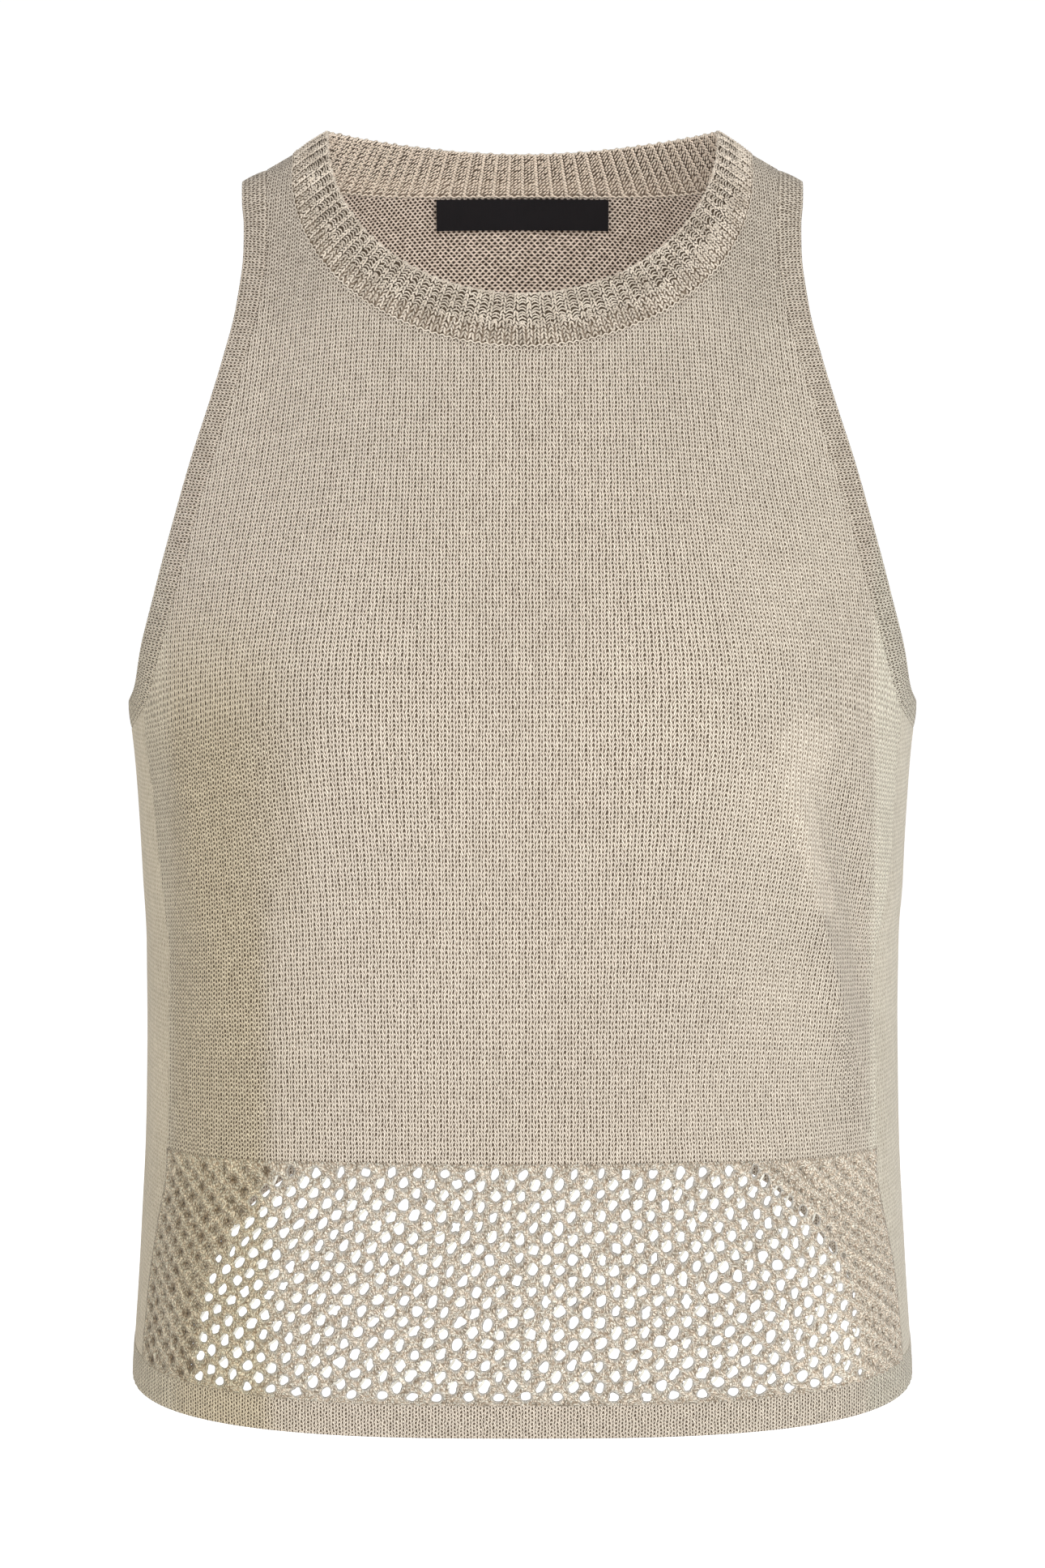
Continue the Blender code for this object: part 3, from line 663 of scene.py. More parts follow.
# ---------------------------------------------------------------- shading
class Net:
    """A material's nodes, written as sums."""

    def __init__(self, name, roughness=0.88, sheen=0.2, specular=0.25):
        self.material = bpy.data.materials.new(name)
        self.material.use_nodes = True
        self.tree = self.material.node_tree
        self.shader = self.tree.nodes["Principled BSDF"]
        self.shader.inputs["Roughness"].default_value = roughness
        self.shader.inputs["Specular IOR Level"].default_value = specular
        self.shader.inputs["Sheen Weight"].default_value = sheen
        self.shader.inputs["Sheen Roughness"].default_value = 0.5
        self.shader.inputs["Sheen Tint"].default_value = (1.0, 0.95, 0.88, 1.0)

    def node(self, kind, **props):
        node = self.tree.nodes.new(kind)
        for key, value in props.items():
            setattr(node, key, value)
        return node

    def put(self, socket, value):
        if isinstance(value, bpy.types.NodeSocket):
            self.tree.links.new(value, socket)
        elif value is not None:
            socket.default_value = value

    def math(self, operation, a, b=None, c=None, clamp=False):
        node = self.node("ShaderNodeMath", operation=operation, use_clamp=clamp)
        for socket, value in zip(node.inputs, (a, b, c)):
            self.put(socket, value)
        return node.outputs[0]

    def add(self, a, b):
        return self.math("ADD", a, b)

    def sub(self, a, b):
        return self.math("SUBTRACT", a, b)

    def mul(self, a, b):
        return self.math("MULTIPLY", a, b)

    def mad(self, a, b, c):
        return self.math("MULTIPLY_ADD", a, b, c)

    def fract(self, a):
        return self.math("FRACT", a)

    def floor(self, a):
        return self.math("FLOOR", a)

    def abs(self, a):
        return self.math("ABSOLUTE", a)

    def power(self, a, b):
        return self.math("POWER", a, b)

    def cos(self, a):
        return self.math("COSINE", a)

    def sin(self, a):
        return self.math("SINE", a)

    def smooth(self, x, low, high, to_low=0.0, to_high=1.0):
        node = self.node("ShaderNodeMapRange", interpolation_type="SMOOTHSTEP")
        for name, value in (("Value", x), ("From Min", low), ("From Max", high),
                            ("To Min", to_low), ("To Max", to_high)):
            self.put(node.inputs[name], value)
        return node.outputs["Result"]

    def between(self, t, a, b):
        """a where t is 0, b where t is 1."""
        return self.add(self.mul(self.sub(1.0, t), a), self.mul(t, b))

    def vector(self, x, y, z=0.0):
        node = self.node("ShaderNodeCombineXYZ")
        for socket, value in zip(node.inputs, (x, y, z)):
            self.put(socket, value)
        return node.outputs[0]

    def uv(self):
        node = self.node("ShaderNodeUVMap", uv_map="UVMap")
        split = self.node("ShaderNodeSeparateXYZ")
        self.put(split.inputs[0], node.outputs[0])
        return split.outputs[0], split.outputs[1]

    def value(self, name):
        return self.node("ShaderNodeAttribute", attribute_name=name).outputs["Fac"]

    def position(self):
        node = self.node("ShaderNodeTexCoord")
        return node.outputs["Object"]

    def noise(self, vector, scale, detail=2.0, rough=0.5):
        node = self.node("ShaderNodeTexNoise", noise_dimensions="3D")
        self.put(node.inputs["Vector"], vector)
        self.put(node.inputs["Scale"], scale)
        self.put(node.inputs["Detail"], detail)
        self.put(node.inputs["Roughness"], rough)
        return node.outputs[0]

    def white(self, vector):
        node = self.node("ShaderNodeTexWhiteNoise", noise_dimensions="3D")
        self.put(node.inputs["Vector"], vector)
        return node.outputs["Value"]

    def mix(self, factor, a, b, blend="MIX"):
        node = self.node("ShaderNodeMix", data_type="RGBA", blend_type=blend)
        self.put(node.inputs[0], factor)
        for socket, value in ((node.inputs[6], a), (node.inputs[7], b)):
            self.put(socket, (*value, 1.0) if isinstance(value, tuple) else value)
        return node.outputs[2]

    def ramp(self, value, stops):
        """Colour by value: stops of (place, colour)."""
        node = self.node("ShaderNodeValToRGB")
        line = node.color_ramp
        while len(line.elements) < len(stops):
            line.elements.new(0.5)
        for element, (place_, color) in zip(line.elements, stops):
            element.position = place_
            element.color = (*color, 1.0)
        self.put(node.inputs[0], value)
        return node.outputs[0]

    def scale_color(self, color, factor):
        node = self.node("ShaderNodeVectorMath", operation="SCALE")
        self.put(node.inputs[0], color)
        self.put(node.inputs["Scale"], factor)
        return node.outputs[0]

    def finish(self, color, height=None, distance=0.0003, strength=1.0):
        self.put(self.shader.inputs["Base Color"], color)
        if height is not None:
            bump = self.node("ShaderNodeBump")
            self.put(bump.inputs["Height"], height)
            bump.inputs["Distance"].default_value = distance
            bump.inputs["Strength"].default_value = strength
            self.put(self.shader.inputs["Normal"], bump.outputs[0])
        return self.material


# tint ramps: the low stops are painted shade for pits, grooves and gaps, the top one the cream yarn
# where a painted highlight falls
CREAM = (0.930, 0.830, 0.705)
MIDDLE = (0.495, 0.418, 0.332)
SHADE = (0.230, 0.180, 0.130)
DEEP = (0.070, 0.050, 0.033)
STOPS = ((0.0, DEEP), (0.30, SHADE), (0.64, MIDDLE), (1.0, CREAM))
KNIT_STOPS = ((0.0, (0.075, 0.053, 0.035)), (0.30, (0.235, 0.185, 0.135)),
              (0.64, (0.425, 0.358, 0.284)), (1.0, (0.830, 0.742, 0.632)))
# OLIVE_PAINTED_SHADE: painted shade on the left side, darker and yellower; PAINTED_LIGHT_TINT: painted
# light on the right side and the side strips
OLIVE_PAINTED_SHADE = (0.89, 0.86, 0.72)
PAINTED_LIGHT_TINT = (1.00, 1.06, 1.05)


def limit(net, value):
    return net.math("MAXIMUM", net.math("MINIMUM", value, 1.0), 0.0)


def stitch(net, u, v, tone, slope=1.45, line=1.0, centre_shade=None, gain=None):
    """Plain knit: two leaning legs a stitch that meet at the column's centre,
    a dark pit under each meeting, a thin groove between the columns, and a
    second pit there where the stitches are pulled open, all painted shade,
    and a painted highlight along each leg's crest.

    Returns the tint, 0 in a pit's painted shade and 1 on a leg's painted
    highlight, and the leg's own number.
    """
    sway = net.noise(net.vector(u, v), 0.42, 2.0, 0.6)
    swell = net.noise(net.vector(net.add(u, 37.3), net.add(v, 11.9)), 0.42, 2.0, 0.6)
    size = net.noise(net.vector(u, v, 23.0), 0.9, 1.0, 0.5)
    shiver = net.noise(net.vector(net.add(u, 5.1), net.add(v, 71.0)), 1.3, 1.0, 0.5)
    u = net.mad(net.sub(sway, 0.5), 0.44, net.mad(net.sub(shiver, 0.5), 0.26, u))
    v = net.mad(net.sub(swell, 0.5), 0.80, net.mad(net.sub(shiver, 0.5), 0.40, v))
    a = net.mul(net.abs(net.sub(net.fract(u), 0.5)), 2.0)
    # a leg is steepest halfway out
    bend = net.mad(net.smooth(a, 0.12, 1.0), 0.55, net.mul(a, 0.45))
    phi = net.mad(bend, slope, v)
    d = net.mul(net.abs(net.sub(net.fract(phi), 0.5)), 2.0)
    own = net.white(net.vector(net.floor(net.mul(u, 2.0)), net.floor(phi)))
    leg = net.smooth(d, 0.0, 0.92, 1.0, 0.0)
    reach = net.mul(net.smooth(a, -0.30, 0.42), net.smooth(a, 0.70, 1.0, 1.0, 0.45))
    # painted highlight: the leg lighter along its crest
    lift = net.mul(net.mul(leg, reach), net.mad(tone, 0.16, 0.58))
    between = net.mul(net.abs(net.sub(net.fract(v), 0.5)), 2.0)
    # painted shade: a dark pit under each meeting of the legs
    spot = net.mul(net.smooth(a, 0.12, 0.46, 1.0, 0.0), net.smooth(between, 0.22, 0.80))
    pit_shade = net.mul(net.mul(spot, net.mad(tone, 0.62, 0.20)),
                  net.mad(net.sub(size, 0.5), 1.2, 1.0))
    wide = net.smooth(tone, 0.55, 0.95)
    # painted shade: a second pit between the columns where the stitches open
    other = net.mul(net.abs(net.sub(net.fract(net.add(v, slope)), 0.5)), 2.0)
    far = net.mul(net.smooth(a, 0.52, 0.86), net.smooth(other, 0.25, 0.85))
    far = net.mul(far, net.mad(wide, 0.55, 0.10))
    # painted shade down the groove between the columns
    groove_shade = net.mul(net.smooth(a, 0.70, 1.0), net.mad(wide, -0.16 * line, 0.20 * line))
    if centre_shade is None:
        centre_shade = net.mul(net.smooth(tone, 0.10, 0.40, 0.0, 0.20),
                        net.smooth(tone, 0.55, 0.90, 1.0, 0.0))
    # painted shade down the column's centre
    middle = net.mul(net.smooth(a, 0.05, 0.38, 1.0, 0.0), centre_shade)
    # painted shade overall: open stitches darker on the whole
    level = net.sub(net.smooth(tone, 0.04, 0.20, 0.505, 0.450),
                    net.smooth(tone, 0.45, 0.87, 0.0, 0.067))
    tint = net.sub(net.add(level, lift), net.add(pit_shade, far))
    tint = net.sub(tint, net.add(groove_shade, middle))
    if gain is None:
        gain = net.mad(wide, -0.25, net.smooth(tone, 0.12, 0.40, 1.40, 1.72))
    tint = net.add(net.mul(net.sub(tint, 0.515), gain), 0.545)
    return limit(net, tint), own, u, v


def plain_knit(name, slope=1.45, line=1.0, centre_shade=None, gain=None, base=0.0,
               distance=0.00028, contrast=0.42, stops=KNIT_STOPS):
    net = Net(name)
    u, v = net.uv()
    tone = net.value("tone")
    tint, own, _, _ = stitch(net, u, v, tone, slope, line, centre_shade, gain)
    height = tint
    fibre = net.noise(net.vector(net.mul(u, 5.0), net.mul(v, 4.0)), 1.0, 3.0, 0.7)
    rows = net.noise(net.vector(net.mul(u, 0.035), net.mul(v, 0.62)), 1.0, 3.0, 0.6)
    cols = net.noise(net.vector(net.mul(u, 0.5), net.mul(v, 0.02), 7.0), 1.0, 2.0, 0.5)
    broad = net.noise(net.vector(net.mul(u, 0.03), net.mul(v, 0.03), 3.0), 1.0, 2.0, 0.5)
    tint = net.mad(net.sub(fibre, 0.5), contrast, tint)
    tint = net.mad(net.sub(own, 0.5), net.between(tone, 0.12, 0.20), tint)
    tint = limit(net, net.add(tint, base))
    shade = net.ramp(tint, stops)
    # painted shade on the left, painted light on the right and on the side strips
    shade = net.mix(net.value("olive_painted_shade"), shade, OLIVE_PAINTED_SHADE, "MULTIPLY")
    shade = net.mix(net.value("painted_light"), shade, PAINTED_LIGHT_TINT, "MULTIPLY")
    factor = net.mad(net.sub(rows, 0.5), 0.18,
                     net.mad(net.sub(cols, 0.5), 0.08,
                             net.mad(net.sub(broad, 0.5), 0.12, 1.0)))
    shade = net.scale_color(shade, factor)
    return net.finish(shade, net.mad(fibre, 0.14, height), distance)


def purl_knit(name):
    """The wrong side: wavy bars in a brick pattern with dark pits between; the pits' darkness is
    painted shade and the bars' crests a painted highlight.
    """
    net = Net(name, sheen=0.10)
    u, v = net.uv()
    spot = net.vector(u, v)
    sway = net.noise(spot, 0.5, 2.0, 0.6)
    swell = net.noise(net.vector(net.add(u, 9.0), v), 0.5, 2.0, 0.6)
    u = net.mad(net.sub(sway, 0.5), 0.34, u)
    v = net.mad(net.sub(swell, 0.5), 0.5, v)
    w = net.mul(v, 1.24)
    row = net.floor(net.add(w, 0.5))
    y = net.sub(w, row)
    size = net.noise(net.vector(u, v, 5.0), 1.1, 1.0, 0.5)
    swing = net.mul(net.mul(net.cos(net.mul(u, 2 * math.pi)),
                            net.cos(net.mul(row, math.pi))),
                    net.mad(net.sub(size, 0.5), 0.40, 0.28))
    # distance to the nearest of three wavy bars
    near = net.math("MINIMUM", net.abs(net.sub(y, swing)),
                    net.math("MINIMUM", net.abs(net.sub(net.add(y, swing), 1.0)),
                             net.abs(net.add(net.add(y, swing), 1.0))))
    # painted shade in the pits between the bars
    hollow_shade = net.smooth(near, 0.36, 0.62)
    # painted highlight on the bars' crests
    bar_highlight = net.smooth(near, 0.02, 0.46, 0.52, 0.0)
    own = net.white(net.vector(net.floor(net.mul(u, 2.0)), row))
    fibre = net.noise(net.vector(net.mul(u, 5.0), net.mul(v, 6.0)), 1.0, 3.0, 0.7)
    tint = net.mad(hollow_shade, -0.70, net.add(0.40, bar_highlight))
    tint = net.mad(net.sub(fibre, 0.5), 0.55, tint)
    tint = net.mad(net.sub(own, 0.5), 0.24, tint)
    tint = limit(net, tint)
    shade = net.ramp(tint, ((0.0, (0.030, 0.018, 0.011)), (0.30, (0.150, 0.108, 0.078)),
                            (0.64, (0.470, 0.375, 0.300)), (1.0, (0.930, 0.800, 0.690))))
    return net.finish(shade, net.mad(fibre, 0.12, net.sub(1.0, hollow_shade)), 0.00030)


def yarn_skin(name, gain=(1.0, 1.0, 1.0), twist=1.1, base=0.70):
    """A two-ply yarn seen close: slanting plies and stray fibre, with painted shade between the plies
    and a painted highlight on their crests.
    """
    net = Net(name)
    u, v = net.uv()
    turn = net.mul(net.add(net.mul(u, 1.0 / twist), v), math.pi * 2)
    ply = net.abs(net.sin(turn))
    fibre = net.noise(net.vector(net.mul(u, 2.2), net.mul(v, 7.0)), 1.0, 3.0, 0.7)
    broad = net.noise(net.position(), 160.0, 2.0, 0.5)
    # painted shade between the plies, lighter on their crests
    tint = net.mad(net.sub(fibre, 0.5), 0.40, net.mad(net.power(ply, 0.6), 0.26, base))
    tint = net.mad(net.sub(broad, 0.5), 0.55, tint)
    shade = net.ramp(limit(net, tint), STOPS)
    shade = net.mix(1.0, shade, gain, "MULTIPLY")
    return net.finish(shade, net.mad(fibre, 0.2, ply), 0.00010)


def lace_knit(name):
    """Strands of the lace.  The map counts holes along both diagonals: holes
    lie where both are whole, the strong strands where u is halfway.  The colour
    holds painted shade between the grains, round the holes and in the closed
    cells' pits, and a painted highlight down the strong strands."""
    net = Net(name)
    u, v = net.uv()
    x = net.mul(net.add(u, v), 5.25)
    y = net.mul(net.sub(v, u), 4.19)

    def grains(angle, length, width, seed):
        c, s_ = math.cos(angle), math.sin(angle)
        along = net.mul(net.add(net.mul(x, c), net.mul(y, s_)), 1.0 / length)
        over = net.mul(net.sub(net.mul(y, c), net.mul(x, s_)), 1.0 / width)
        node = net.node("ShaderNodeTexVoronoi", voronoi_dimensions="3D",
                        feature="F1", distance="EUCLIDEAN")
        net.put(node.inputs["Vector"], net.vector(along, over, seed))
        net.put(node.inputs["Scale"], 1.0)
        net.put(node.inputs["Randomness"], 0.75)
        tone = net.node("ShaderNodeSeparateColor")
        net.put(tone.inputs[0], node.outputs["Color"])
        return node.outputs["Distance"], tone.outputs[0]

    across = net.sub(net.fract(u), 0.5)
    over = net.sub(net.fract(v), 0.5)
    steep, one = grains(math.radians(63), 1.45, 0.47, 0.5)
    flat, two = grains(math.radians(14), 1.40, 0.47, 8.5)
    rise, three = grains(math.radians(86), 1.35, 0.47, 3.5)
    side = net.smooth(across, -0.03, 0.03)
    pick = net.smooth(net.sub(net.abs(over), net.abs(across)), -0.06, 0.04)
    dist = net.between(side, flat, steep)
    own = net.between(side, two, one)
    dist = net.between(pick, rise, dist)
    own = net.between(pick, three, own)
    # painted shade between the grains
    height = net.sub(1.0, net.smooth(dist, 0.14, 0.66))
    fibre = net.noise(net.vector(net.mul(u, 21.0), net.mul(v, 21.0)), 1.0, 3.0, 0.7)
    hue = net.noise(net.vector(net.mul(u, 4.6), net.mul(v, 4.6), 40.0), 1.0, 2.0, 0.6)
    # painted highlight down the strong strand's middle
    rope_highlight = net.smooth(net.abs(across), 0.10, 0.30, 1.0, 0.0)
    tint = net.mad(height, 0.72, 0.31)
    tint = net.mad(net.sub(own, 0.5), 0.34, tint)
    tint = net.mad(net.sub(fibre, 0.5), 0.50, tint)
    tint = net.mad(rope_highlight, 0.10, tint)
    shade = net.ramp(limit(net, tint), STOPS)
    # painted shade: grey round the holes' rims
    rim = net.value("rim")
    warm = net.mix(net.smooth(hue, 0.36, 0.64), (0.95, 1.015, 1.04), (1.03, 0.985, 0.94))
    shade = net.mix(1.0, shade, warm, "MULTIPLY")
    shade = net.mix(net.mul(rim, 0.74), shade, (0.54, 0.53, 0.495))
    # painted shade on the left side, darker and yellower
    shade = net.mix(net.value("olive_painted_shade"), shade, OLIVE_PAINTED_SHADE, "MULTIPLY")
    # painted shade and light by the tone attribute: pits, hole lips and inner faces darker and
    # browner, the right side lighter
    shade_level = net.value("tone")
    shade = net.mix(net.smooth(shade_level, 0.30, 0.84, 1.0, 0.0), shade, (1.0, 0.84, 0.66),
                    "MULTIPLY")
    shade = net.scale_color(shade, shade_level)
    return net.finish(shade, net.mad(fibre, 0.18, height), 0.00034)


def rib_ground(name, low, high):
    """The ground between the neckband's cords, nearly all in shade, so its colours are painted
    near-black shade.
    """
    net = Net(name)
    u, v = net.uv()
    weave = net.noise(net.vector(net.mul(u, 4.0), v), 1.0, 3.0, 0.7)
    plain = net.value("tone")
    bars = net.cos(net.mul(u, 4 * math.pi))
    tint = net.mad(weave, net.mad(plain, 0.65, 0.35), net.mad(plain, -0.10, -0.07))
    tint = net.mad(net.mul(bars, plain), -0.08, tint)
    shade = net.ramp(limit(net, tint), ((0.0, low), (0.30, high),
                                        (0.64, MIDDLE), (1.0, CREAM)))
    return net.finish(shade, weave, 0.0003)


def label_satin(name):
    net = Net(name, roughness=0.55, sheen=0.0, specular=0.16)
    spot = net.position()
    split = net.node("ShaderNodeSeparateXYZ")
    net.put(split.inputs[0], spot)
    x, z = split.outputs[0], split.outputs[2]
    warp = net.abs(net.sin(net.mul(x, math.pi / 0.00042)))
    weft = net.abs(net.sin(net.mul(net.mad(x, 0.6, z), math.pi / 0.00034)))
    broad = net.noise(spot, 45.0, 2.0, 0.5)
    weave = net.mul(net.add(warp, weft), 0.5)
    shade = net.mix(weave, (0.0050, 0.0042, 0.0050), (0.0125, 0.0110, 0.0128))
    shade = net.scale_color(shade, net.mad(net.sub(broad, 0.5), 0.3, 1.0))
    return net.finish(shade, weave, 0.00005)


def floor_paint(name):
    net = Net(name, roughness=0.9, sheen=0.0, specular=0.1)
    broad = net.noise(net.position(), 3.0, 3.0, 0.5)
    shade = net.mix(broad, (0.93, 0.93, 0.93), (0.95, 0.95, 0.95))
    net.shader.inputs["Emission Color"].default_value = (1.0, 1.0, 1.0, 1.0)
    net.shader.inputs["Emission Strength"].default_value = 0.62
    return net.finish(shade)


KNIT = plain_knit("knit_face")
SIDE_KNIT = plain_knit("knit_back_face", 1.45, 0.6, 0.05, 0.80, 0.0, 0.00014, 0.30)
PURL = purl_knit("knit_wrong_side")
BAND_KNIT = plain_knit("band_face", 1.3, 0.6, 0.06, 1.35, -0.02, 0.00024, 0.40)
HEM_KNIT = plain_knit("hem_face", 1.7, 1.8, 0.14, 1.70, 0.04, 0.00030, 0.40, STOPS)
LACE = lace_knit("lace_strands")
YARN = yarn_skin("yarn_face", base=0.65)
# the inside neckband's yarn is a lighter copy: painted light against the shade inside the neck
YARN_IN_LIT = yarn_skin("yarn_inside_lit", (1.05, 1.01, 0.99), 1.1, 0.98)
# the crossing threads are a greyer, cooler copy of the yarn: painted shade
SHADED_THREAD = yarn_skin("lace_thread_shaded", (0.94, 1.03, 1.09), 0.8, 0.66)
RIB_BASE = rib_ground("rib_ground", (0.028, 0.018, 0.010), (0.125, 0.090, 0.058))
# a lighter copy of the ground for the inside: painted light
RIB_IN_LIT = rib_ground("rib_ground_inside_lit", (0.052, 0.036, 0.023), (0.235, 0.180, 0.132))
SATIN = label_satin("label_satin")


# ---------------------------------------------------------------- panels
NECK_SPOTS = (0.0, 0.1, 0.2, 0.3, 0.4, 0.5, 0.6, 0.69, 0.77, 0.84,
              0.9, 0.95, 0.985, 1.0)
ARM_SPOTS = (0.0, 0.012, 0.04, 0.08, 0.135, 0.2, 0.28, 0.37, 0.47, 0.58, 0.69,
             0.8, 0.9, 1.0)
STRAP_ROWS = 4
MAIN_T = NECK_SPOTS[len(NECK_SPOTS) - STRAP_ROWS - 1]    # strap's base, on the neck
BASE_T = ARM_SPOTS[STRAP_ROWS]                           # and on the armhole
NECK_STEPS, STRAP_STEPS = 66, 10
COLUMNS = NECK_STEPS + STRAP_STEPS
STRAP_LINES = 14


def even_line(z_of, start, end, count):
    """(psi, z) rows of equal spacing along the form from start to end."""
    fine = np.linspace(start, end, 400)
    points = form(fine, z_of(fine))
    run = np.concatenate([[0.0], np.cumsum(np.linalg.norm(np.diff(points, axis=0), axis=1))])
    spots = np.interp(np.linspace(0, run[-1], count + 1), run, fine)
    return np.stack([spots, z_of(spots)], -1)


def blend_patch(bottom, top, side):
    """Coons patch between a bottom line, a top line, centre and a side line."""
    count = len(bottom)
    s = np.linspace(0, 1, count)[None, :, None]
    t = ((side[:, 1] - side[0, 1]) / (side[-1, 1] - side[0, 1]))[:, None, None]
    centre = bottom[0] + (top[0] - bottom[0]) * t
    ruled = (1 - t) * bottom[None] + t * top[None]
    sides = (1 - s) * centre + s * side[:, None, :]
    corners = ((1 - s) * ((1 - t) * bottom[0] + t * top[0])
               + s * ((1 - t) * bottom[-1] + t * top[-1]))
    return ruled + sides - corners


def panel_top(side, curves, split):
    """Upper line of the main patch, and the strap's lines above it."""
    t = np.linspace(0, MAIN_T, NECK_STEPS + 1)
    line = np.stack(neck_seam(t, side), -1)
    base = arm_seam(curves, split * BASE_T)
    mix = np.linspace(0, 1, STRAP_STEPS + 1)[1:, None]
    line = np.concatenate([line, line[-1] + (base - line[-1]) * mix])
    # strap: from its base up to the shoulder line
    tau = np.linspace(0, 1, STRAP_LINES + 1)[1:]
    neck_t = np.interp(tau, [0, 0.25, 0.5, 0.75, 1.0],
                       [MAIN_T, 0.9, 0.95, 0.985, 1.0])
    arm_t = np.interp(tau, [0, 0.25, 0.5, 0.75, 1.0],
                      [BASE_T, 0.08, 0.04, 0.012, 0.0]) * split
    neck = np.stack(neck_seam(neck_t, side), -1)
    arm = arm_seam(curves, arm_t)
    mix = np.linspace(0, 1, STRAP_STEPS + 1)[None, :, None]
    strap = neck[:, None, :] + (arm - neck)[:, None, :] * mix
    return line, strap


def arm_side(bottom, curves, split, count):
    t = np.linspace(1.0, BASE_T, count + 1)[1:] * split
    return np.concatenate([bottom[None, :], arm_seam(curves, t)])


def two_sides(lines):
    """(rows, columns, psi z) from the centre out, mirrored to the full width:
    psi, z and mirror arrays."""
    psi = np.concatenate([lines[:, :0:-1, 0], lines[:, :, 0]], axis=1)
    z = np.concatenate([lines[:, :0:-1, 1], lines[:, :, 1]], axis=1)
    half = lines.shape[1]
    mirror = np.concatenate([-np.ones(half - 1), np.ones(half)])
    return psi, z, np.broadcast_to(mirror, psi.shape)


# x0, z0, x1, z1, half_width, amount: lines where the stitches open or close; on the right they follow
# the folds, open with painted shade in the troughs and closed with a painted highlight along the ridge
FRONT_MARKS = [
    (119.4, -228.0, 128.6, -292.0, 6.5, 0.45),
    (112.0, -290.0, 121.0, -325.0, 6.5, 0.55),
    (121.0, -325.0, 127.7, -378.0, 6.5, 0.60),
    (101.7, -235.0, 124.0, -325.0, 3.5, -0.40),
    (97.0, -215.0, 125.0, -240.0, 10.0, -0.20),
]


def front_tone(x, z):
    """How open the stitches are: 0 closed, 1 open, with painted shade in the gaps between."""
    low = ramp(-z, 262, 300)
    left = (1 - low) * ramp(-x, 72, 100) + low * ramp(-x, 88, 102)
    tone = 0.45 + 0.42 * left * ramp(-z, 195, 235)
    tone = tone - 0.22 * ramp(x, 30, 95) * ramp(-z, 70, 150)
    tone = tone - 0.30 * ramp(np.abs(x), 131, 137)
    beyond = (np.hypot(x / SEAM_HALF, (z - SEAM_MID_Z) / SEAM_DROP) - 1) * 70
    tone = tone + 0.40 * (1 - ramp(beyond, 0.5, 4.0)) * (z < SEAM_MID_Z)
    tone = tone + fold_height(x, z, FRONT_MARKS)
    tone = tone + 0.34 * ramp(z, -85, -45) * ramp(np.abs(x), 62, 86)
    tone = tone + 0.06 * np.sin(x * 0.071 + 1.0) * np.sin(z * 0.083)
    return np.clip(tone, 0, 1)


def lace_top(x):
    return LACE_TOP_Z - course_drop(x, LACE_TOP_Z)


def front_piece():
    cloth = Cloth()
    low_z = float(arm_seam(ARM_FRONT, SPLIT)[1])
    bottom = even_line(lambda p: low_z + 0 * p, HALF_PI, float(seam_psi(low_z)), COLUMNS)
    top, strap = panel_top(1, ARM_FRONT, SPLIT)
    patch = blend_patch(bottom, top, arm_side(bottom[-1], ARM_FRONT, SPLIT, 88))
    levels = np.linspace(LACE_TOP_Z, low_z, 90)[:-1]
    skirt = []
    for z in levels:
        line = even_line(lambda p: z + 0 * p, HALF_PI, float(seam_psi(z)), COLUMNS)
        x = form(line[:, 0], line[:, 1])[:, 0]
        fade = ramp(z, low_z - 60, LACE_TOP_Z)
        line[:, 1] -= course_drop(x, LACE_TOP_Z) * fade + 0.25 * (z == LACE_TOP_Z)
        line[-1, 0] = float(seam_psi(line[-1, 1]))
        skirt.append(line)
    lines = np.concatenate([np.array(skirt), patch])
    psi, z, mirror = two_sides(lines)
    points = place(psi, z, mirror)
    ids = cloth.grid(points, front_uv(psi, z, mirror),
                     front_tone(points[..., 0], points[..., 2]))
    for sign in (-1, 1):
        psi, z = strap[..., 0], strap[..., 1]
        points = place(psi, z, sign)
        points[-1, :, 1] = 0.0
        uv = front_uv(psi, z, sign)
        if sign < 0:
            points, uv = points[:, ::-1], uv[:, ::-1]
            first = ids[-1, :STRAP_STEPS + 1]
        else:
            first = ids[-1, -STRAP_STEPS - 1:]
        cloth.grid(points, uv, 0.72, first)
    obj = cloth.shell("front_knit", 1.4, KNIT, PURL)
    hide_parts("front_panel")
    return obj


def back_line(z, fade, count, wrap):
    def z_of(psi):
        return z + fade * rise(psi)
    back = even_line(z_of, -HALF_PI, 0.0, count)
    side = even_line(z_of, 0.0, float(seam_psi(z)), wrap)
    return np.concatenate([back, side[1:]])


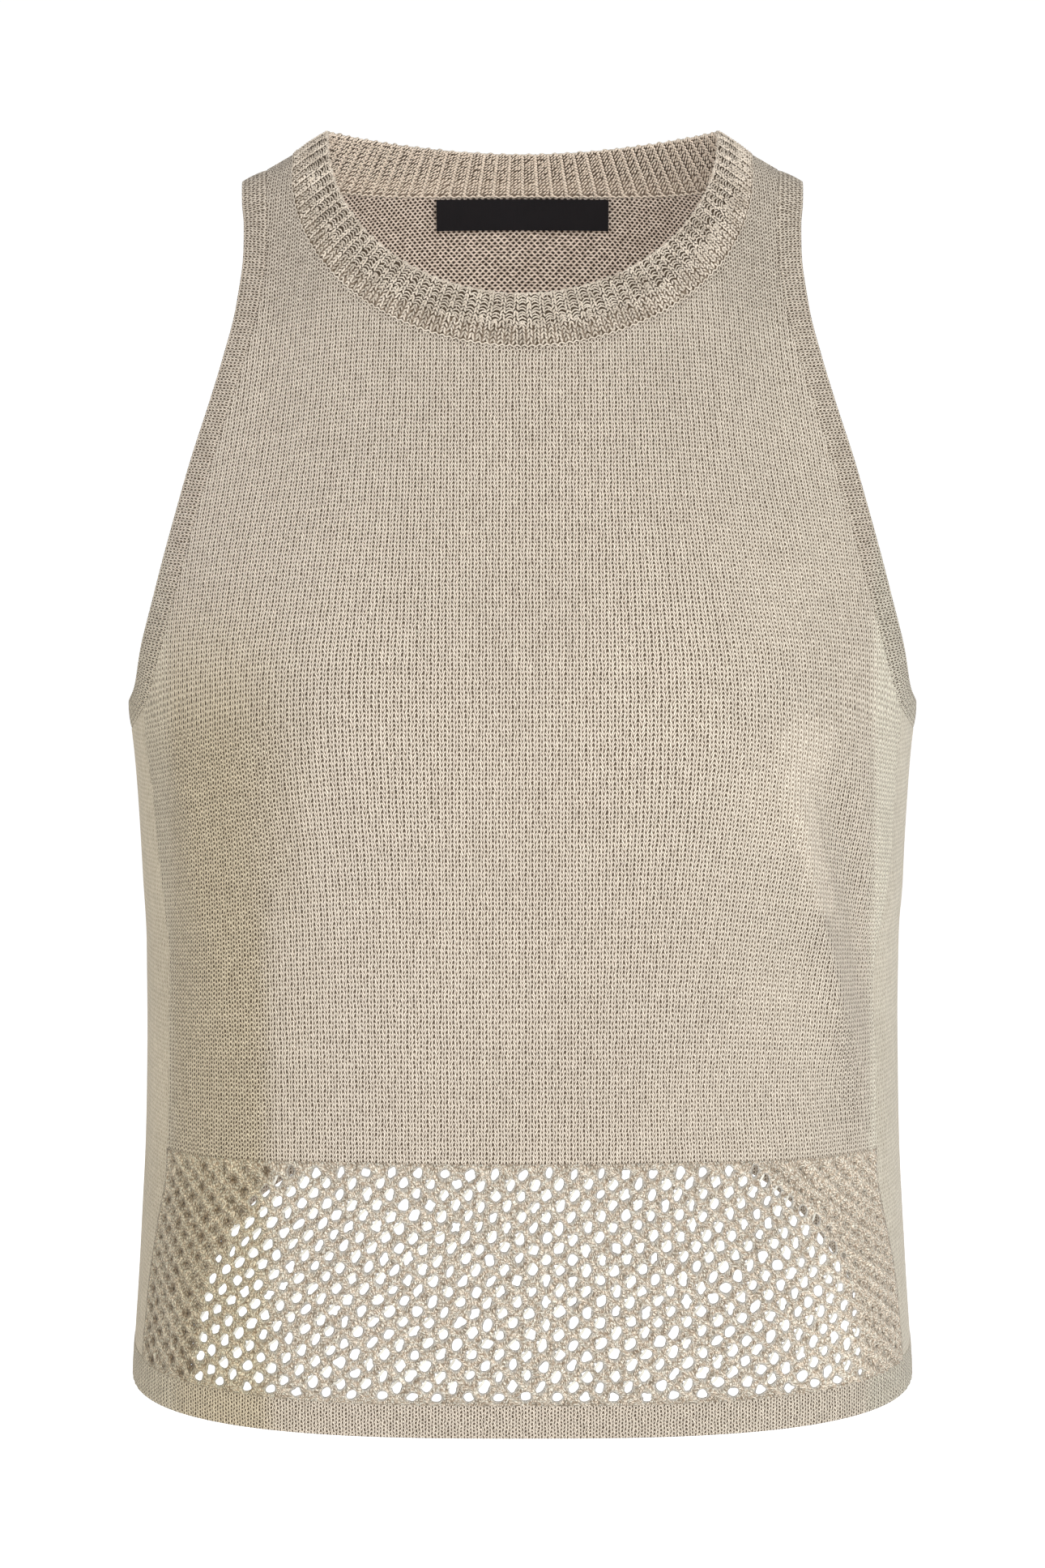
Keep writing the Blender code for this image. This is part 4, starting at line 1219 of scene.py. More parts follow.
def back_piece():
    cloth = Cloth()
    wrap_steps = 14
    under_z = float(arm_seam(ARM_FRONT, 1.0)[1])
    bottom = even_line(
        lambda p: BACK_LOW_Z + (under_z - BACK_LOW_Z) * smooth_step(1 + p / HALF_PI),
        -HALF_PI, 0.0, COLUMNS)
    top, strap = panel_top(-1, ARM_BACK, 1.0)
    patch = blend_patch(bottom, top, arm_side(bottom[-1], ARM_BACK, 1.0, 76))
    t = 1 + (SPLIT - 1) * np.arange(1, wrap_steps + 1) / wrap_steps
    wrap = arm_seam(ARM_FRONT, t)
    wrap[-1, 0] = float(seam_psi(wrap[-1, 1]))
    join = np.concatenate([bottom, wrap])
    # skirt: from the hem up to the joining line, the hem's arch fading out
    rows = 84
    levels = [(HEM_TOP_Z + (-262.0 - HEM_TOP_Z) * k / (rows - 1)) for k in range(rows)]
    skirt = []
    for z in levels:
        fade = float(smooth_step((-262.0 - z) / (-262.0 - HEM_TOP_Z))) ** 0.9
        skirt.append(back_line(z, fade, COLUMNS, wrap_steps))
    skirt = np.array(skirt)
    mix = np.linspace(0, 1, 14)[1:-1, None, None]
    bridge = skirt[-1] + (join - skirt[-1]) * mix
    skirt = np.concatenate([skirt, bridge, join[None]])
    psi, z, mirror = two_sides(skirt)

    def tone_at(points, psi):
        side = ramp(psi, -0.9, -0.1)
        x, zz = points[..., 0], points[..., 2]
        tone = 0.38 - 0.30 * side + 0.06 * np.sin(x * 0.06) * np.sin(zz * 0.07 + 2)
        return np.clip(tone, 0, 1)

    points = place(psi, z, mirror)
    ids = cloth.grid(points, back_uv(psi, z, mirror), tone_at(points, psi))
    psi, z, mirror = two_sides(patch[1:])
    points = place(psi, z, mirror)
    upper = cloth.grid(points, back_uv(psi, z, mirror), tone_at(points, psi),
                       ids[-1, wrap_steps:-wrap_steps])
    for sign in (-1, 1):
        psi, z = strap[..., 0], strap[..., 1]
        points = place(psi, z, sign)
        points[-1, :, 1] = 0.0
        uv = back_uv(psi, z, sign)
        if sign < 0:
            points, uv = points[:, ::-1], uv[:, ::-1]
            first = upper[-1, :STRAP_STEPS + 1]
        else:
            first = upper[-1, -STRAP_STEPS - 1:]
        cloth.grid(points, uv, 0.45, first)
    obj = cloth.shell("back_knit", 1.4, SIDE_KNIT, PURL)
    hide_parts("back_panel")
    return obj


# ---------------------------------------------------------------- lace
def lace_spot(c, r, mirrored=True):
    """(psi, z, mirror) at column c and row r of the lace."""
    c, r = np.broadcast_arrays(np.asarray(c, float), np.asarray(r, float))
    z = LACE_FIRST_Z - LACE_STEP * r
    z = np.where(r > 21, LACE_FIRST_Z - LACE_STEP * 21 - (r - 21) * 3.1, z)
    share = c / LACE_COLUMNS
    skew = -0.0194 * r / 18
    share = share + skew * (1 - share ** 2)
    mirror = np.where(share < 0, -1.0, 1.0)
    size = np.abs(share)
    fade = ramp(z, -470, LACE_TOP_Z)
    for _ in range(3):
        seam = CHART.look(CHART.from_front, seam_psi(z), z)
        psi = CHART.psi_at_run(size * seam, z)
        x = form(psi, z)[..., 0]
        level = LACE_FIRST_Z - LACE_STEP * r
        level = np.where(r > 21, LACE_FIRST_Z - LACE_STEP * 21 - (r - 21) * 3.1, level)
        z = level - course_drop(x, LACE_TOP_Z) * fade
    return psi, z, mirror


class LaceTable:
    """The lace's surface sampled once, and read between the samples."""

    def __init__(self):
        self.c = np.linspace(-LACE_COLUMNS, LACE_COLUMNS, 311)
        self.r = np.linspace(-1.0, 22.0, 70)
        psi, z, mirror = lace_spot(self.c[:, None], self.r[None, :])
        self.points = place(psi, z, mirror)
        dc = np.gradient(self.points, axis=0)
        dr = np.gradient(self.points, axis=1)
        normal = np.cross(dr, dc)
        normal /= np.linalg.norm(normal, axis=-1, keepdims=True)
        if normal[155, 30, 1] > 0:
            normal = -normal
        self.normal = normal

    def look(self, table, c, r):
        i = np.clip((c - self.c[0]) / (self.c[1] - self.c[0]), 0, len(self.c) - 1.001)
        j = np.clip((r - self.r[0]) / (self.r[1] - self.r[0]), 0, len(self.r) - 1.001)
        i0, j0 = i.astype(int), j.astype(int)
        u, v = (i - i0)[..., None], (j - j0)[..., None]
        return ((1 - u) * (1 - v) * table[i0, j0] + u * (1 - v) * table[i0 + 1, j0]
                + (1 - u) * v * table[i0, j0 + 1] + u * v * table[i0 + 1, j0 + 1])

    def at(self, c, r):
        return self.look(self.points, c, r), self.look(self.normal, c, r)


TABLE = LaceTable()
# z, right, left: half width of the part of the lace whose holes stay open
OPEN_LACE = [(-476.0, 129.0, 126.0), (-463.0, 128.5, 124.5), (-440.0, 125.0, 120.5),
             (-421.0, 119.5, 113.5), (-408.0, 110.5, 106.5), (-396.0, 101.5, 98.0),
             (-384.0, 84.0, 82.0)]
OPEN_RIGHT = fit(OPEN_LACE, 0, 1)
OPEN_LEFT = fit(OPEN_LACE, 0, 2)
CELL_HALF = 0.397      # a cell reaches so far left and right of its hole
CELL_TOP = 0.103       # half its short upper and lower sides
C_MM, R_MM = 10.5, LACE_STEP


def wobble(c, r):
    """Small wandering of the lattice, the same for neighbouring cells."""
    inside = np.clip((LACE_COLUMNS - np.abs(c)) / 0.6, 0, 1) \
        * np.clip((r + 1) / 0.8, 0, 1) * np.clip((22 - r) / 0.8, 0, 1)
    dc = 0.035 * (np.sin(2.3 * c + 1.7 * r) + np.sin(4.1 * c - 2.9 * r + 1.0)
                  + 0.7 * np.sin(7.7 * c + 5.3 * r))
    dr = 0.075 * (np.sin(3.1 * c - 1.9 * r + 0.6) + np.sin(5.3 * c + 3.7 * r)
                  + 0.7 * np.sin(8.9 * c - 6.1 * r + 2.0))
    return c + dc * inside, r + dr * inside


def cell_outline():
    """Twenty points round a cell, in columns and rows from its hole, from its
    right corner down-left round, with the kind of strand on each side:
    0 strong (falls to the right), 1 weak (rises to the right), 2 a crossing."""
    corners = [(CELL_HALF, 0.0), (CELL_TOP, 1.0), (-CELL_TOP, 1.0),
               (-CELL_HALF, 0.0), (-CELL_TOP, -1.0), (CELL_TOP, -1.0)]
    kinds = [1, 2, 0, 1, 2, 0]
    counts = [4, 2, 4, 4, 2, 4]
    points, kind = [], []
    for k in range(6):
        a, b = np.array(corners[k]), np.array(corners[(k + 1) % 6])
        for i in range(counts[k]):
            points.append(a + (b - a) * i / counts[k])
            kind.append(2 if i == 0 else kinds[k])
    return np.array(points), np.array(kind)


def lace_piece():
    outline, kind = cell_outline()
    rings = np.array([0.0, 0.22, 0.55, 1.0])
    profile = np.array([0.0, 0.40, 0.92, 1.0])
    lookup = {}
    threads = []

    def heights(kinds):
        """Outward and inward half thickness at a cell's edge."""
        out = np.choose(kinds, [0.86, 0.42, 0.90])
        ins = np.choose(kinds, [0.42, 0.72, 0.62])
        return out, ins

    def edge_ids(c, r):
        """Shared points of cells' edges, outer and inner."""
        ids = []
        for (oc, orr), k in zip(outline, kind):
            key = (round((c + oc) * 2000), round((r + orr) * 2000))
            if key not in lookup:
                lookup[key] = (len(edge_c), k)
                edge_c.append((c + oc, r + orr, k))
            ids.append(lookup[key][0])
        return ids

    edge_c = []
    cells = []
    for r in range(22):
        odd = r % 2
        start = -15 if not odd else -14.5
        number = 31 if not odd else 30
        for i in range(number):
            c = start + i
            cells.append((c, r, edge_ids(c, r)))
    # half cells at the two ends of the odd rows, and notches above and below,
    # are closed knit; they use the same edge points
    solids = []

    def solid(corners):
        """A closed patch, its points in the order opposite to the cells'."""
        turn = sum(a[0] * b[1] - b[0] * a[1]
                   for a, b in zip(corners, corners[1:] + corners[:1]))
        if turn > 0:
            corners = corners[::-1]
        ids = []
        for c, r in corners:
            key = (round(c * 2000), round(r * 2000))
            if key not in lookup:
                lookup[key] = (len(edge_c), 2)
                edge_c.append((c, r, 2))
            ids.append(lookup[key][0])
        return ids

    def side_points(a, b, steps):
        a, b = np.array(a), np.array(b)
        return [tuple(a + (b - a) * i / steps) for i in range(steps)]

    edge = LACE_COLUMNS
    for r in range(1, 22, 2):
        for s in (-1, 1):
            left = (s * (edge - CELL_HALF), r)
            up = (s * (edge - CELL_TOP), r - 1)
            down = (s * (edge - CELL_TOP), r + 1)
            ring = side_points(left, down, 4) + side_points(down, (s * edge, r + 1), 1) \
                + [(s * edge, r + 1), (s * edge, r), (s * edge, r - 1)] \
                + side_points(up, left, 4)
            solids.append((solid(ring), (s * (edge - 0.16), r)))
    for k in range(-16, 16):
        c = k + 0.5
        # notch above row 0 (cells of the missing row -1)
        if abs(c) < edge:
            a, b = (c - CELL_HALF, -1), (c - CELL_TOP, 0)
            d, e = (c + CELL_TOP, 0), (c + CELL_HALF, -1)
            ring = side_points(a, b, 4) + side_points(b, d, 2) + side_points(d, e, 4) \
                + [e, (c, -1.0)]
            solids.append((solid(ring), (c, -0.55)))
    for k in range(-15, 16):
        c = float(k)
        a, b = (c - CELL_HALF, 22), (c - CELL_TOP, 21)
        d, e = (c + CELL_TOP, 21), (c + CELL_HALF, 22)
        ring = side_points(a, b, 4) + side_points(b, d, 2) + side_points(d, e, 4) \
            + [e, (c, 22.0)]
        solids.append((solid(ring), (c, 21.6)))
    # corners at the ends of row 0 and row 21
    for s in (-1, 1):
        a, b = (s * (edge - CELL_HALF), -1), (s * (edge - CELL_TOP), 0)
        ring = side_points(a, b, 4) + [b, (s * edge, 0), (s * edge, -1)]
        solids.append((solid(ring), (s * (edge - 0.15), -0.55)))

    shared = np.array([(c, r) for c, r, _ in edge_c])
    kinds = np.array([k for _, _, k in edge_c])
    wc, wr = wobble(shared[:, 0], shared[:, 1])
    base, normal = TABLE.at(wc, wr)
    out, ins = heights(kinds)
    total = len(shared)
    points = [base + normal * out[:, None], base - normal * ins[:, None]]
    uv = [np.stack([shared[:, 0] - shared[:, 1] / 2 + 0.0,
                    shared[:, 0] + shared[:, 1] / 2], -1)] * 2
    # painted shade: the inner face a little darker than the outer
    shade_levels = [np.ones(total), np.full(total, 0.86)]
    rim_shades = [np.zeros(2 * total)]
    count = 2 * total
    quads, polygons = [], []
    n = len(outline)
    angle = np.arctan2(-outline[:, 1] * R_MM, outline[:, 0] * C_MM)
    for c, r, ids in cells:
        ids = np.array(ids)
        # the hole: a leaning oval in millimetres, with its own unevenness
        tilt = math.radians(66 + RNG.normal(0, 9))
        long_half = 2.32 * (1 + RNG.normal(0, 0.09))
        short_half = 1.53 * (1 + RNG.normal(0, 0.13))
        if r == 21:
            tilt, long_half, short_half = math.radians(50), 1.95, 1.75
        if r == 0:
            long_half *= 0.93
        spot, _ = TABLE.at(np.array([float(c)]), np.array([float(r)]))
        x, z = float(spot[0, 0]), float(spot[0, 2])
        limit_x = float(read(OPEN_RIGHT if x > 0 else OPEN_LEFT, z))
        side = float(ramp(abs(x), limit_x, limit_x + 4.0))
        short_half *= 1 - 0.995 * side
        long_half *= 1 - 0.995 * side
        # painted shade: a dark pit in the closed cells, deeper on the left
        pit_shade = side * (0.54 if x < 0 else 0.14) * RNG.uniform(0.4, 1.4)
        wave = RNG.normal(0, 0.07, 3)
        phase = RNG.random(3) * 6.28
        rel = angle - tilt
        radius = 1 / np.sqrt((np.cos(rel) / long_half) ** 2 + (np.sin(rel) / short_half) ** 2)
        radius = radius * (1 + sum(wave[k] * np.cos((k + 2) * angle + phase[k]) for k in range(3)))
        # a second small hole up and to the left, behind a crossing thread
        second = RNG.random() < 0.72 and 0 < r < 21 and side < 0.3
        if second:
            lean = math.radians(140 + RNG.normal(0, 7))
            near = np.cos(np.clip((angle - lean + math.pi) % (2 * math.pi) - math.pi, -1.2, 1.2) * 1.3)
            radius = np.maximum(radius, np.maximum(near, 0) ** 3 * (2.55 + RNG.normal(0, 0.15)))
        cc, cr = wobble(np.array([c]), np.array([float(r)]))
        cc, cr = float(cc[0]), float(cr[0])
        hole_c = cc + radius * np.cos(angle) / C_MM
        hole_r = cr - radius * np.sin(angle) / R_MM
        ec, er = wc[ids], wr[ids]
        # keep the hole inside the cell
        reach = np.hypot((ec - cc) * C_MM, (er - cr) * R_MM)
        keep = np.minimum(1.0, (reach - 0.50) / np.maximum(radius, 0.1))
        hole_c, hole_r = cc + (hole_c - cc) * keep, cr + (hole_r - cr) * keep
        eo, ei = out[ids], ins[ids]
        for level, (t, h) in enumerate(zip(rings[:-1], profile[:-1])):
            gc, gr = hole_c + (ec - hole_c) * t, hole_r + (er - hole_r) * t
            p, nn = TABLE.at(gc, gr)
            lattice = np.stack([gc - gr / 2, gc + gr / 2], -1)
            if level == 0:
                # painted shade: the hole's lip darker, with grey round the rim
                points.append(p + nn * ((eo - ei) / 2 * 0.6)[:, None])
                uv.append(lattice)
                shade_levels.append(np.full(n, 0.84 * (1 - pit_shade)))
                rim_shades.append(np.full(n, 1 - side))
                first = count
                count += n
                continue
            knobs = 1 + RNG.normal(0, 0.10, n)
            sunk = 1 - side * (0.9 if level == 1 else 0.25)
            points.append(p + nn * (eo * h * knobs * sunk)[:, None])
            points.append(p - nn * (ei * h)[:, None])
            uv += [lattice, lattice]
            near = 1 - pit_shade * (0.8 if level == 1 else 0.45)
            shade_levels += [np.full(n, 0.97 * near), np.full(n, 0.86)]
            rim_shades.append(np.full(2 * n, 0.72 * (1 - side) if level == 1 else 0.0))
            count += 2 * n
        o = [first + np.arange(n), first + n + np.arange(n), first + 3 * n + np.arange(n), ids]
        q = [first + np.arange(n), first + 2 * n + np.arange(n),
             first + 4 * n + np.arange(n), ids + total]
        for a, b in zip(o, o[1:]):
            quads.append(np.stack([a, np.roll(a, -1), np.roll(b, -1), b], -1))
        for a, b in zip(q, q[1:]):
            quads.append(np.stack([b, np.roll(b, -1), np.roll(a, -1), a], -1))
        if second:
            a1, a2 = lean + 0.95 + RNG.normal(0, 0.08), lean - 0.80 + RNG.normal(0, 0.08)
            start = np.array([np.cos(a1), np.sin(a1)]) * 2.4
            stop = np.array([np.cos(a2), np.sin(a2)]) * 2.6
            bulge = np.array([np.cos(lean), np.sin(lean)]) * (-0.15 + RNG.normal(0, 0.12))
            t = np.linspace(0, 1, 6)[:, None]
            line = start + (stop - start) * t + bulge * 4 * t * (1 - t)
            threads.append((cc + line[:, 0] / C_MM, cr - line[:, 1] / R_MM))
    for ids, (sc, sr) in solids:
        ids = np.array(ids)
        p, nn = TABLE.at(np.array([sc]), np.array([float(sr)]))
        points += [p + nn * 0.8, p - nn * 0.7]
        lattice = np.array([[sc - sr / 2, sc + sr / 2]])
        uv += [lattice, lattice]
        shade_levels += [np.ones(1), np.full(1, 0.86)]
        rim_shades.append(np.zeros(2))
        m = len(ids)
        hub = np.full(m, count)
        quads_outer = np.stack([hub, ids, np.roll(ids, -1)], -1)
        quads_inner = np.stack([hub + 1, np.roll(ids, -1) + total, ids + total], -1)
        polygons += [quads_outer, quads_inner]
        count += 2
    points = np.concatenate(points)
    uv, shade_levels = np.concatenate(uv), np.concatenate(shade_levels)
    # painted light: the lace lighter towards the right side
    shade_levels = shade_levels * (1 + 0.20 * ramp(points[:, 0], 92, 125))
    quads = np.concatenate(quads)
    tris = np.concatenate(polygons)
    faces = [tuple(q) for q in quads.tolist()] + [tuple(t) for t in tris.tolist()]
    # rim along the band's own edges: join outer and inner edge points
    directed = {}
    for face in faces:
        m = len(face)
        for k in range(m):
            directed[(face[k], face[(k + 1) % m])] = directed.get(
                (face[k], face[(k + 1) % m]), 0) + 1
    rim = []
    for (a, b) in directed:
        if (b, a) not in directed and a < total and b < total:
            rim.append((b, a, a + total, b + total))
    faces += rim
    obj = make_object("lace_band", points, faces, [LACE], None, uv,
                      {"tone": shade_levels, "rim": np.concatenate(rim_shades), **painted_side_light(points)}, None)
    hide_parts("front_lace_band")

    yarns = Yarns()
    centre, up = [], []
    for gc, gr in threads:
        p, nn = TABLE.at(gc, gr)
        lift = 0.15 + 0.25 * np.sin(np.linspace(0, math.pi, 6))
        centre.append(p + nn * lift[:, None])
        up.append(nn)
    yarns.add(np.array(centre), np.array(up), 0.52, 0.24, 5)
    thread = yarns.build("lace_crossings", SHADED_THREAD)
    return obj, thread


# ---------------------------------------------------------------- bands
class Ribbon:
    """A narrow ring of cloth sampled as (stations, shares), right half or whole."""

    def __init__(self, points, ring, shares):
        self.points, self.ring, self.shares = points, ring, shares
        around = (np.roll(points, -1, 0) - np.roll(points, 1, 0)) if ring \
            else np.gradient(points, axis=0)
        across = np.gradient(points, axis=1)
        normal = np.cross(around, across)
        normal /= np.maximum(np.linalg.norm(normal, axis=-1, keepdims=True), 1e-9)
        mid = points[:, points.shape[1] // 2]
        if (normal[:, points.shape[1] // 2] * (mid * np.array((1.0, 1.0, 0.0)))).sum() < 0:
            normal = -normal
        self.normal = normal
        middle = points[:, points.shape[1] // 2]
        step = np.linalg.norm(np.roll(middle, -1, 0) - middle, axis=1)
        self.run = np.concatenate([[0.0], np.cumsum(step)])
        if not ring:
            self.run = self.run[:-1]

    def look(self, table, run, share):
        spots = np.arange(len(self.run))
        i = np.interp(run, self.run, spots)
        count = len(self.points)
        i0 = np.minimum(i.astype(int), len(self.run) - 2)
        u = (i - i0)[..., None]
        j = np.clip(np.interp(share, self.shares, np.arange(len(self.shares))), 0,
                    len(self.shares) - 1.001)
        j0 = j.astype(int)
        v = (j - j0)[..., None]
        a, b = i0 % count, (i0 + 1) % count
        return ((1 - u) * (1 - v) * table[a, j0] + u * (1 - v) * table[b, j0]
                + (1 - u) * v * table[a, j0 + 1] + u * v * table[b, j0 + 1])

    def at(self, run, share, out=0.0):
        run, share, out = np.broadcast_arrays(np.asarray(run, float),
                                              np.asarray(share, float),
                                              np.asarray(out, float))
        p = self.look(self.points, run, share)
        n = self.look(self.normal, run, share)
        n = n / np.maximum(np.linalg.norm(n, axis=-1, keepdims=True), 1e-9)
        return p + n * out[..., None], n


def neck_ribbon():
    """The whole neckband from its seam (share 0) to its free edge (share 1)."""
    t = np.sin(np.linspace(0, HALF_PI, 240))
    shares = np.linspace(0, 1, 25)
    halves = []
    for side in (1, -1):
        seam = np.stack(neck_seam(t, side), -1)
        edge = np.stack(neck_edge(t, side), -1)
        spot = seam[:, None] + (edge - seam)[:, None] * shares[None, :, None]
        p = place(spot[..., 0], spot[..., 1], 1.0)
        p[..., 2] += 1.5 * shares * (1 - shares)
        halves.append(p)
    right = np.concatenate([halves[0], halves[1][-2::-1]])
    left = right[-2:0:-1] * np.array((-1.0, 1.0, 1.0))
    return Ribbon(np.concatenate([right, left]), True, shares)


def neck_pieces():
    ribbon = neck_ribbon()
    total = ribbon.run[-1]
    # ribs: closer on the front than on the back; station by rib number
    half = total / 2
    front_share = 0.56
    fine = np.linspace(0, half, 400)
    pitch = 5.05 + 0.45 * ramp(fine, half * (front_share - 0.12), half * (front_share + 0.12))
    number = np.concatenate([[0.0], np.cumsum(np.diff(fine) / ((pitch[1:] + pitch[:-1]) / 2))])
    ribs_half = int(round(number[-1]))
    number *= ribs_half / number[-1]
    ribs = 2 * ribs_half

    def run_at(rib):
        """Length round the band at a rib number; 0 is centre front."""
        rib = np.asarray(rib, float) % ribs
        right = np.interp(rib, number, fine)
        left = total - np.interp(ribs - rib, number, fine)
        return np.where(rib <= ribs_half, right, left)

    # ground sheet, painted dark as the shade between the stitches
    cols, rows = ribs * 3, 10
    rib = np.arange(cols) / 3
    share = np.linspace(0, 0.955, rows)
    points, _ = ribbon.at(run_at(rib)[None, :], share[:, None])
    uv = np.stack(np.broadcast_arrays(rib[None, :], share[:, None] * 17), -1)
    cloth = Cloth()
    plain = np.broadcast_to(1 - ramp(share, 0.28, 0.40)[:, None], (rows, cols))
    cloth.grid(points, uv, plain, ring=True)
    base = cloth.shell("neckband_ground", 0.6, RIB_BASE, RIB_IN_LIT)
    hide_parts("neckband")

    courses = 14
    step = 0.93 / courses
    front_ribs = float(np.interp(half * front_share, fine, number))

    def on_front(rib):
        return (rib < front_ribs) | (rib > ribs - front_ribs)

    def legs(yarns, sign, spots, starts, ends, lift, radius, loose=0.022, sides=4):
        """Short fat strokes from starts to ends, both (rib, share) offsets."""
        index, level = spots
        shake = RNG.normal(0, 1, (4, len(index)))
        t = np.array([0.0, 0.5, 1.0])
        rib_pos = index[:, None] + starts[0] + (ends[0] - starts[0]) * t \
            + shake[0][:, None] * loose + shake[3][:, None] * 0.030 * (t - 0.5)
        share = level[:, None] + starts[1] + (ends[1] - starts[1]) * t \
            + shake[1][:, None] * 0.007
        rise_ = (lift + np.array([-0.22, 0.10, -0.22]) + shake[2][:, None] * 0.07) * sign
        p, n = ribbon.at(run_at(rib_pos), np.clip(share, 0.004, 1.0), rise_)
        size = np.array([0.55, 1.0, 0.55]) * radius
        near = on_front(index) == (sign > 0)
        yarns.add(p[near], n[near] * sign, size, size, sides)
        yarns.add(p[~near], n[~near] * sign, size, size, 3)

    def every(index, levels):
        index, levels = np.meshgrid(index, levels, indexing="ij")
        return index.ravel(), levels.ravel()

    def rings(yarns, sign, specs):
        spots = ribs * 8
        around = np.arange(spots) / 8
        wander = np.cumsum(RNG.normal(0, 0.5, spots))
        wander = wander - np.linspace(0, wander[-1], spots)
        for place_, swing, lift, radius, phase in specs:
            wave = 0.5 + 0.5 * np.sin(around * 4 * math.pi + phase + 0.25 * wander)
            p, n = ribbon.at(run_at(around), place_ + swing * wave,
                             sign * (lift + 0.25 * wave))
            yarns.add_ring(p, n * sign, radius * (0.92 + 0.3 * wave), 1.06 * radius, 3)

    made = []
    outer = Yarns()
    index = np.arange(ribs) + 0.5
    levels = 0.05 + step * (np.arange(courses) + 0.5)
    dense = RNG.random((ribs, 8)) < np.array([1, 1, 1, 1, 1, 0.75, 0.40, 0.12])
    dense = np.logical_and.accumulate(dense, axis=1)
    for k in (-1, 1):
        legs(outer, 1, every(index, levels), (0.03 * k, 0.55 * step),
             (0.18 * k, -0.50 * step), 0.72, 0.45)
        # a second column between the ribs in the dense lower zone
        spots = every(index + 0.5, levels[:dense.shape[1]])
        spots = spots[0][dense.ravel()], spots[1][dense.ravel()]
        legs(outer, 1, spots, (0.03 * k, 0.58 * step), (0.19 * k, -0.50 * step),
             0.60, 0.48, 0.036, 3)
    # rungs of the ladders: low arches, a lower stem at the middle of some
    rungs = 0.400 + 0.0575 * np.arange(10)
    spot_i, spot_s = every(index, rungs)
    spot_s = spot_s + np.repeat(RNG.normal(0, 0.010, ribs), len(rungs))
    t = np.linspace(0, 1, 5)
    shake = RNG.normal(0, 1, (3, len(spot_i)))
    rib_pos = spot_i[:, None] + 0.21 + 0.58 * t
    share = spot_s[:, None] + np.array([-0.024, 0.002, 0.010, 0.002, -0.024]) \
        + shake[0][:, None] * 0.007 + shake[1][:, None] * 0.024 * (t - 0.5)
    lift = np.array([0.24, 0.46, 0.54, 0.46, 0.24]) + shake[2][:, None] * 0.06
    p, n = ribbon.at(run_at(rib_pos), share, lift)
    near = on_front(spot_i)
    outer.add(p[near], n[near], 0.32, 0.34, 3)
    outer.add(p[~near][:, ::2], n[~near][:, ::2], 0.30, 0.32, 3)
    stem = near & (RNG.random(len(spot_i)) < 0.45)
    t = np.array([0.0, 0.5, 1.0])
    count = int(stem.sum())
    rib_pos = spot_i[stem][:, None] + 0.5 + RNG.normal(0, 0.07, (count, 1)) \
        + RNG.normal(0, 0.10, (count, 1)) * (t - 0.5)
    p, n = ribbon.at(run_at(rib_pos), spot_s[stem][:, None] + 0.010 - 0.062 * t,
                     0.30 - 0.10 * t)
    outer.add(p, n, 0.24, 0.26, 3)
    # loops along the free edge, over the cords and lower between them
    t = np.linspace(0, 1, 5)
    for shift, half_span, low, high in ((0.0, 0.24, 0.948, 0.992), (0.5, 0.30, 0.945, 0.968)):
        rib_pos = (index + shift)[:, None] + half_span * (2 * t - 1)
        share = low + (high - low) * np.sin(t * math.pi) + RNG.normal(0, 0.004, (ribs, 1))
        p, n = ribbon.at(run_at(rib_pos), np.clip(share, 0, 1), 0.35 - 0.3 * np.sin(t * math.pi))
        outer.add(p, n, 0.45, 0.45, 3)
    rings(outer, 1, [(0.006, 0.034, 0.55, 0.34, 0.0)])
    obj = outer.build("neckband_cords", YARN, None)
    made.append(obj)

    inner = Yarns()
    index = np.arange(ribs)
    levels = 0.070 + step * (np.arange(courses) + 0.5)
    # one zigzag cord to a rib, and slanting strokes between
    spots = 4 * courses + 3
    t = np.linspace(0, 1, spots)
    sway = 0.095 * np.where(np.arange(spots) % 4 < 2, 1.0, -1.0)
    rib_pos = index[:, None] + sway + RNG.normal(0, 0.012, (ribs, spots))
    p, n = ribbon.at(run_at(rib_pos), 0.03 + 0.945 * t, -0.86)
    size = np.broadcast_to(0.36 + 0.07 * np.cos(np.arange(spots) * HALF_PI), (ribs, spots))
    away = on_front(index)
    inner.add(p[~away], -n[~away], size[~away], 0.38, 4)
    inner.add(p[away][:, ::2], -n[away][:, ::2], size[away][:, ::2], 0.40, 3)
    # the middle column is left out on the front half, and the others are fuller
    legs(inner, -1, every(index[~away], levels), (0.38, 0.44 * step),
         (0.62, -0.42 * step), 0.68, 0.39)
    for half, start, stop, lift, radius in ((~away, 0.14, 0.36, 0.64, 0.40),
                                            (~away, 0.64, 0.86, 0.52, 0.34),
                                            (away, 0.17, 0.47, 0.66, 0.52),
                                            (away, 0.53, 0.83, 0.62, 0.50)):
        legs(inner, -1, every(index[half], levels), (start, 0.44 * step),
             (stop, -0.42 * step), lift, radius)
    rings(inner, -1, [(0.004, 0.040, 0.50, 0.36, 0.0)])
    obj = inner.build("neckband_cords_inside", YARN_IN_LIT, None)
    made.append(obj)
    return base, made


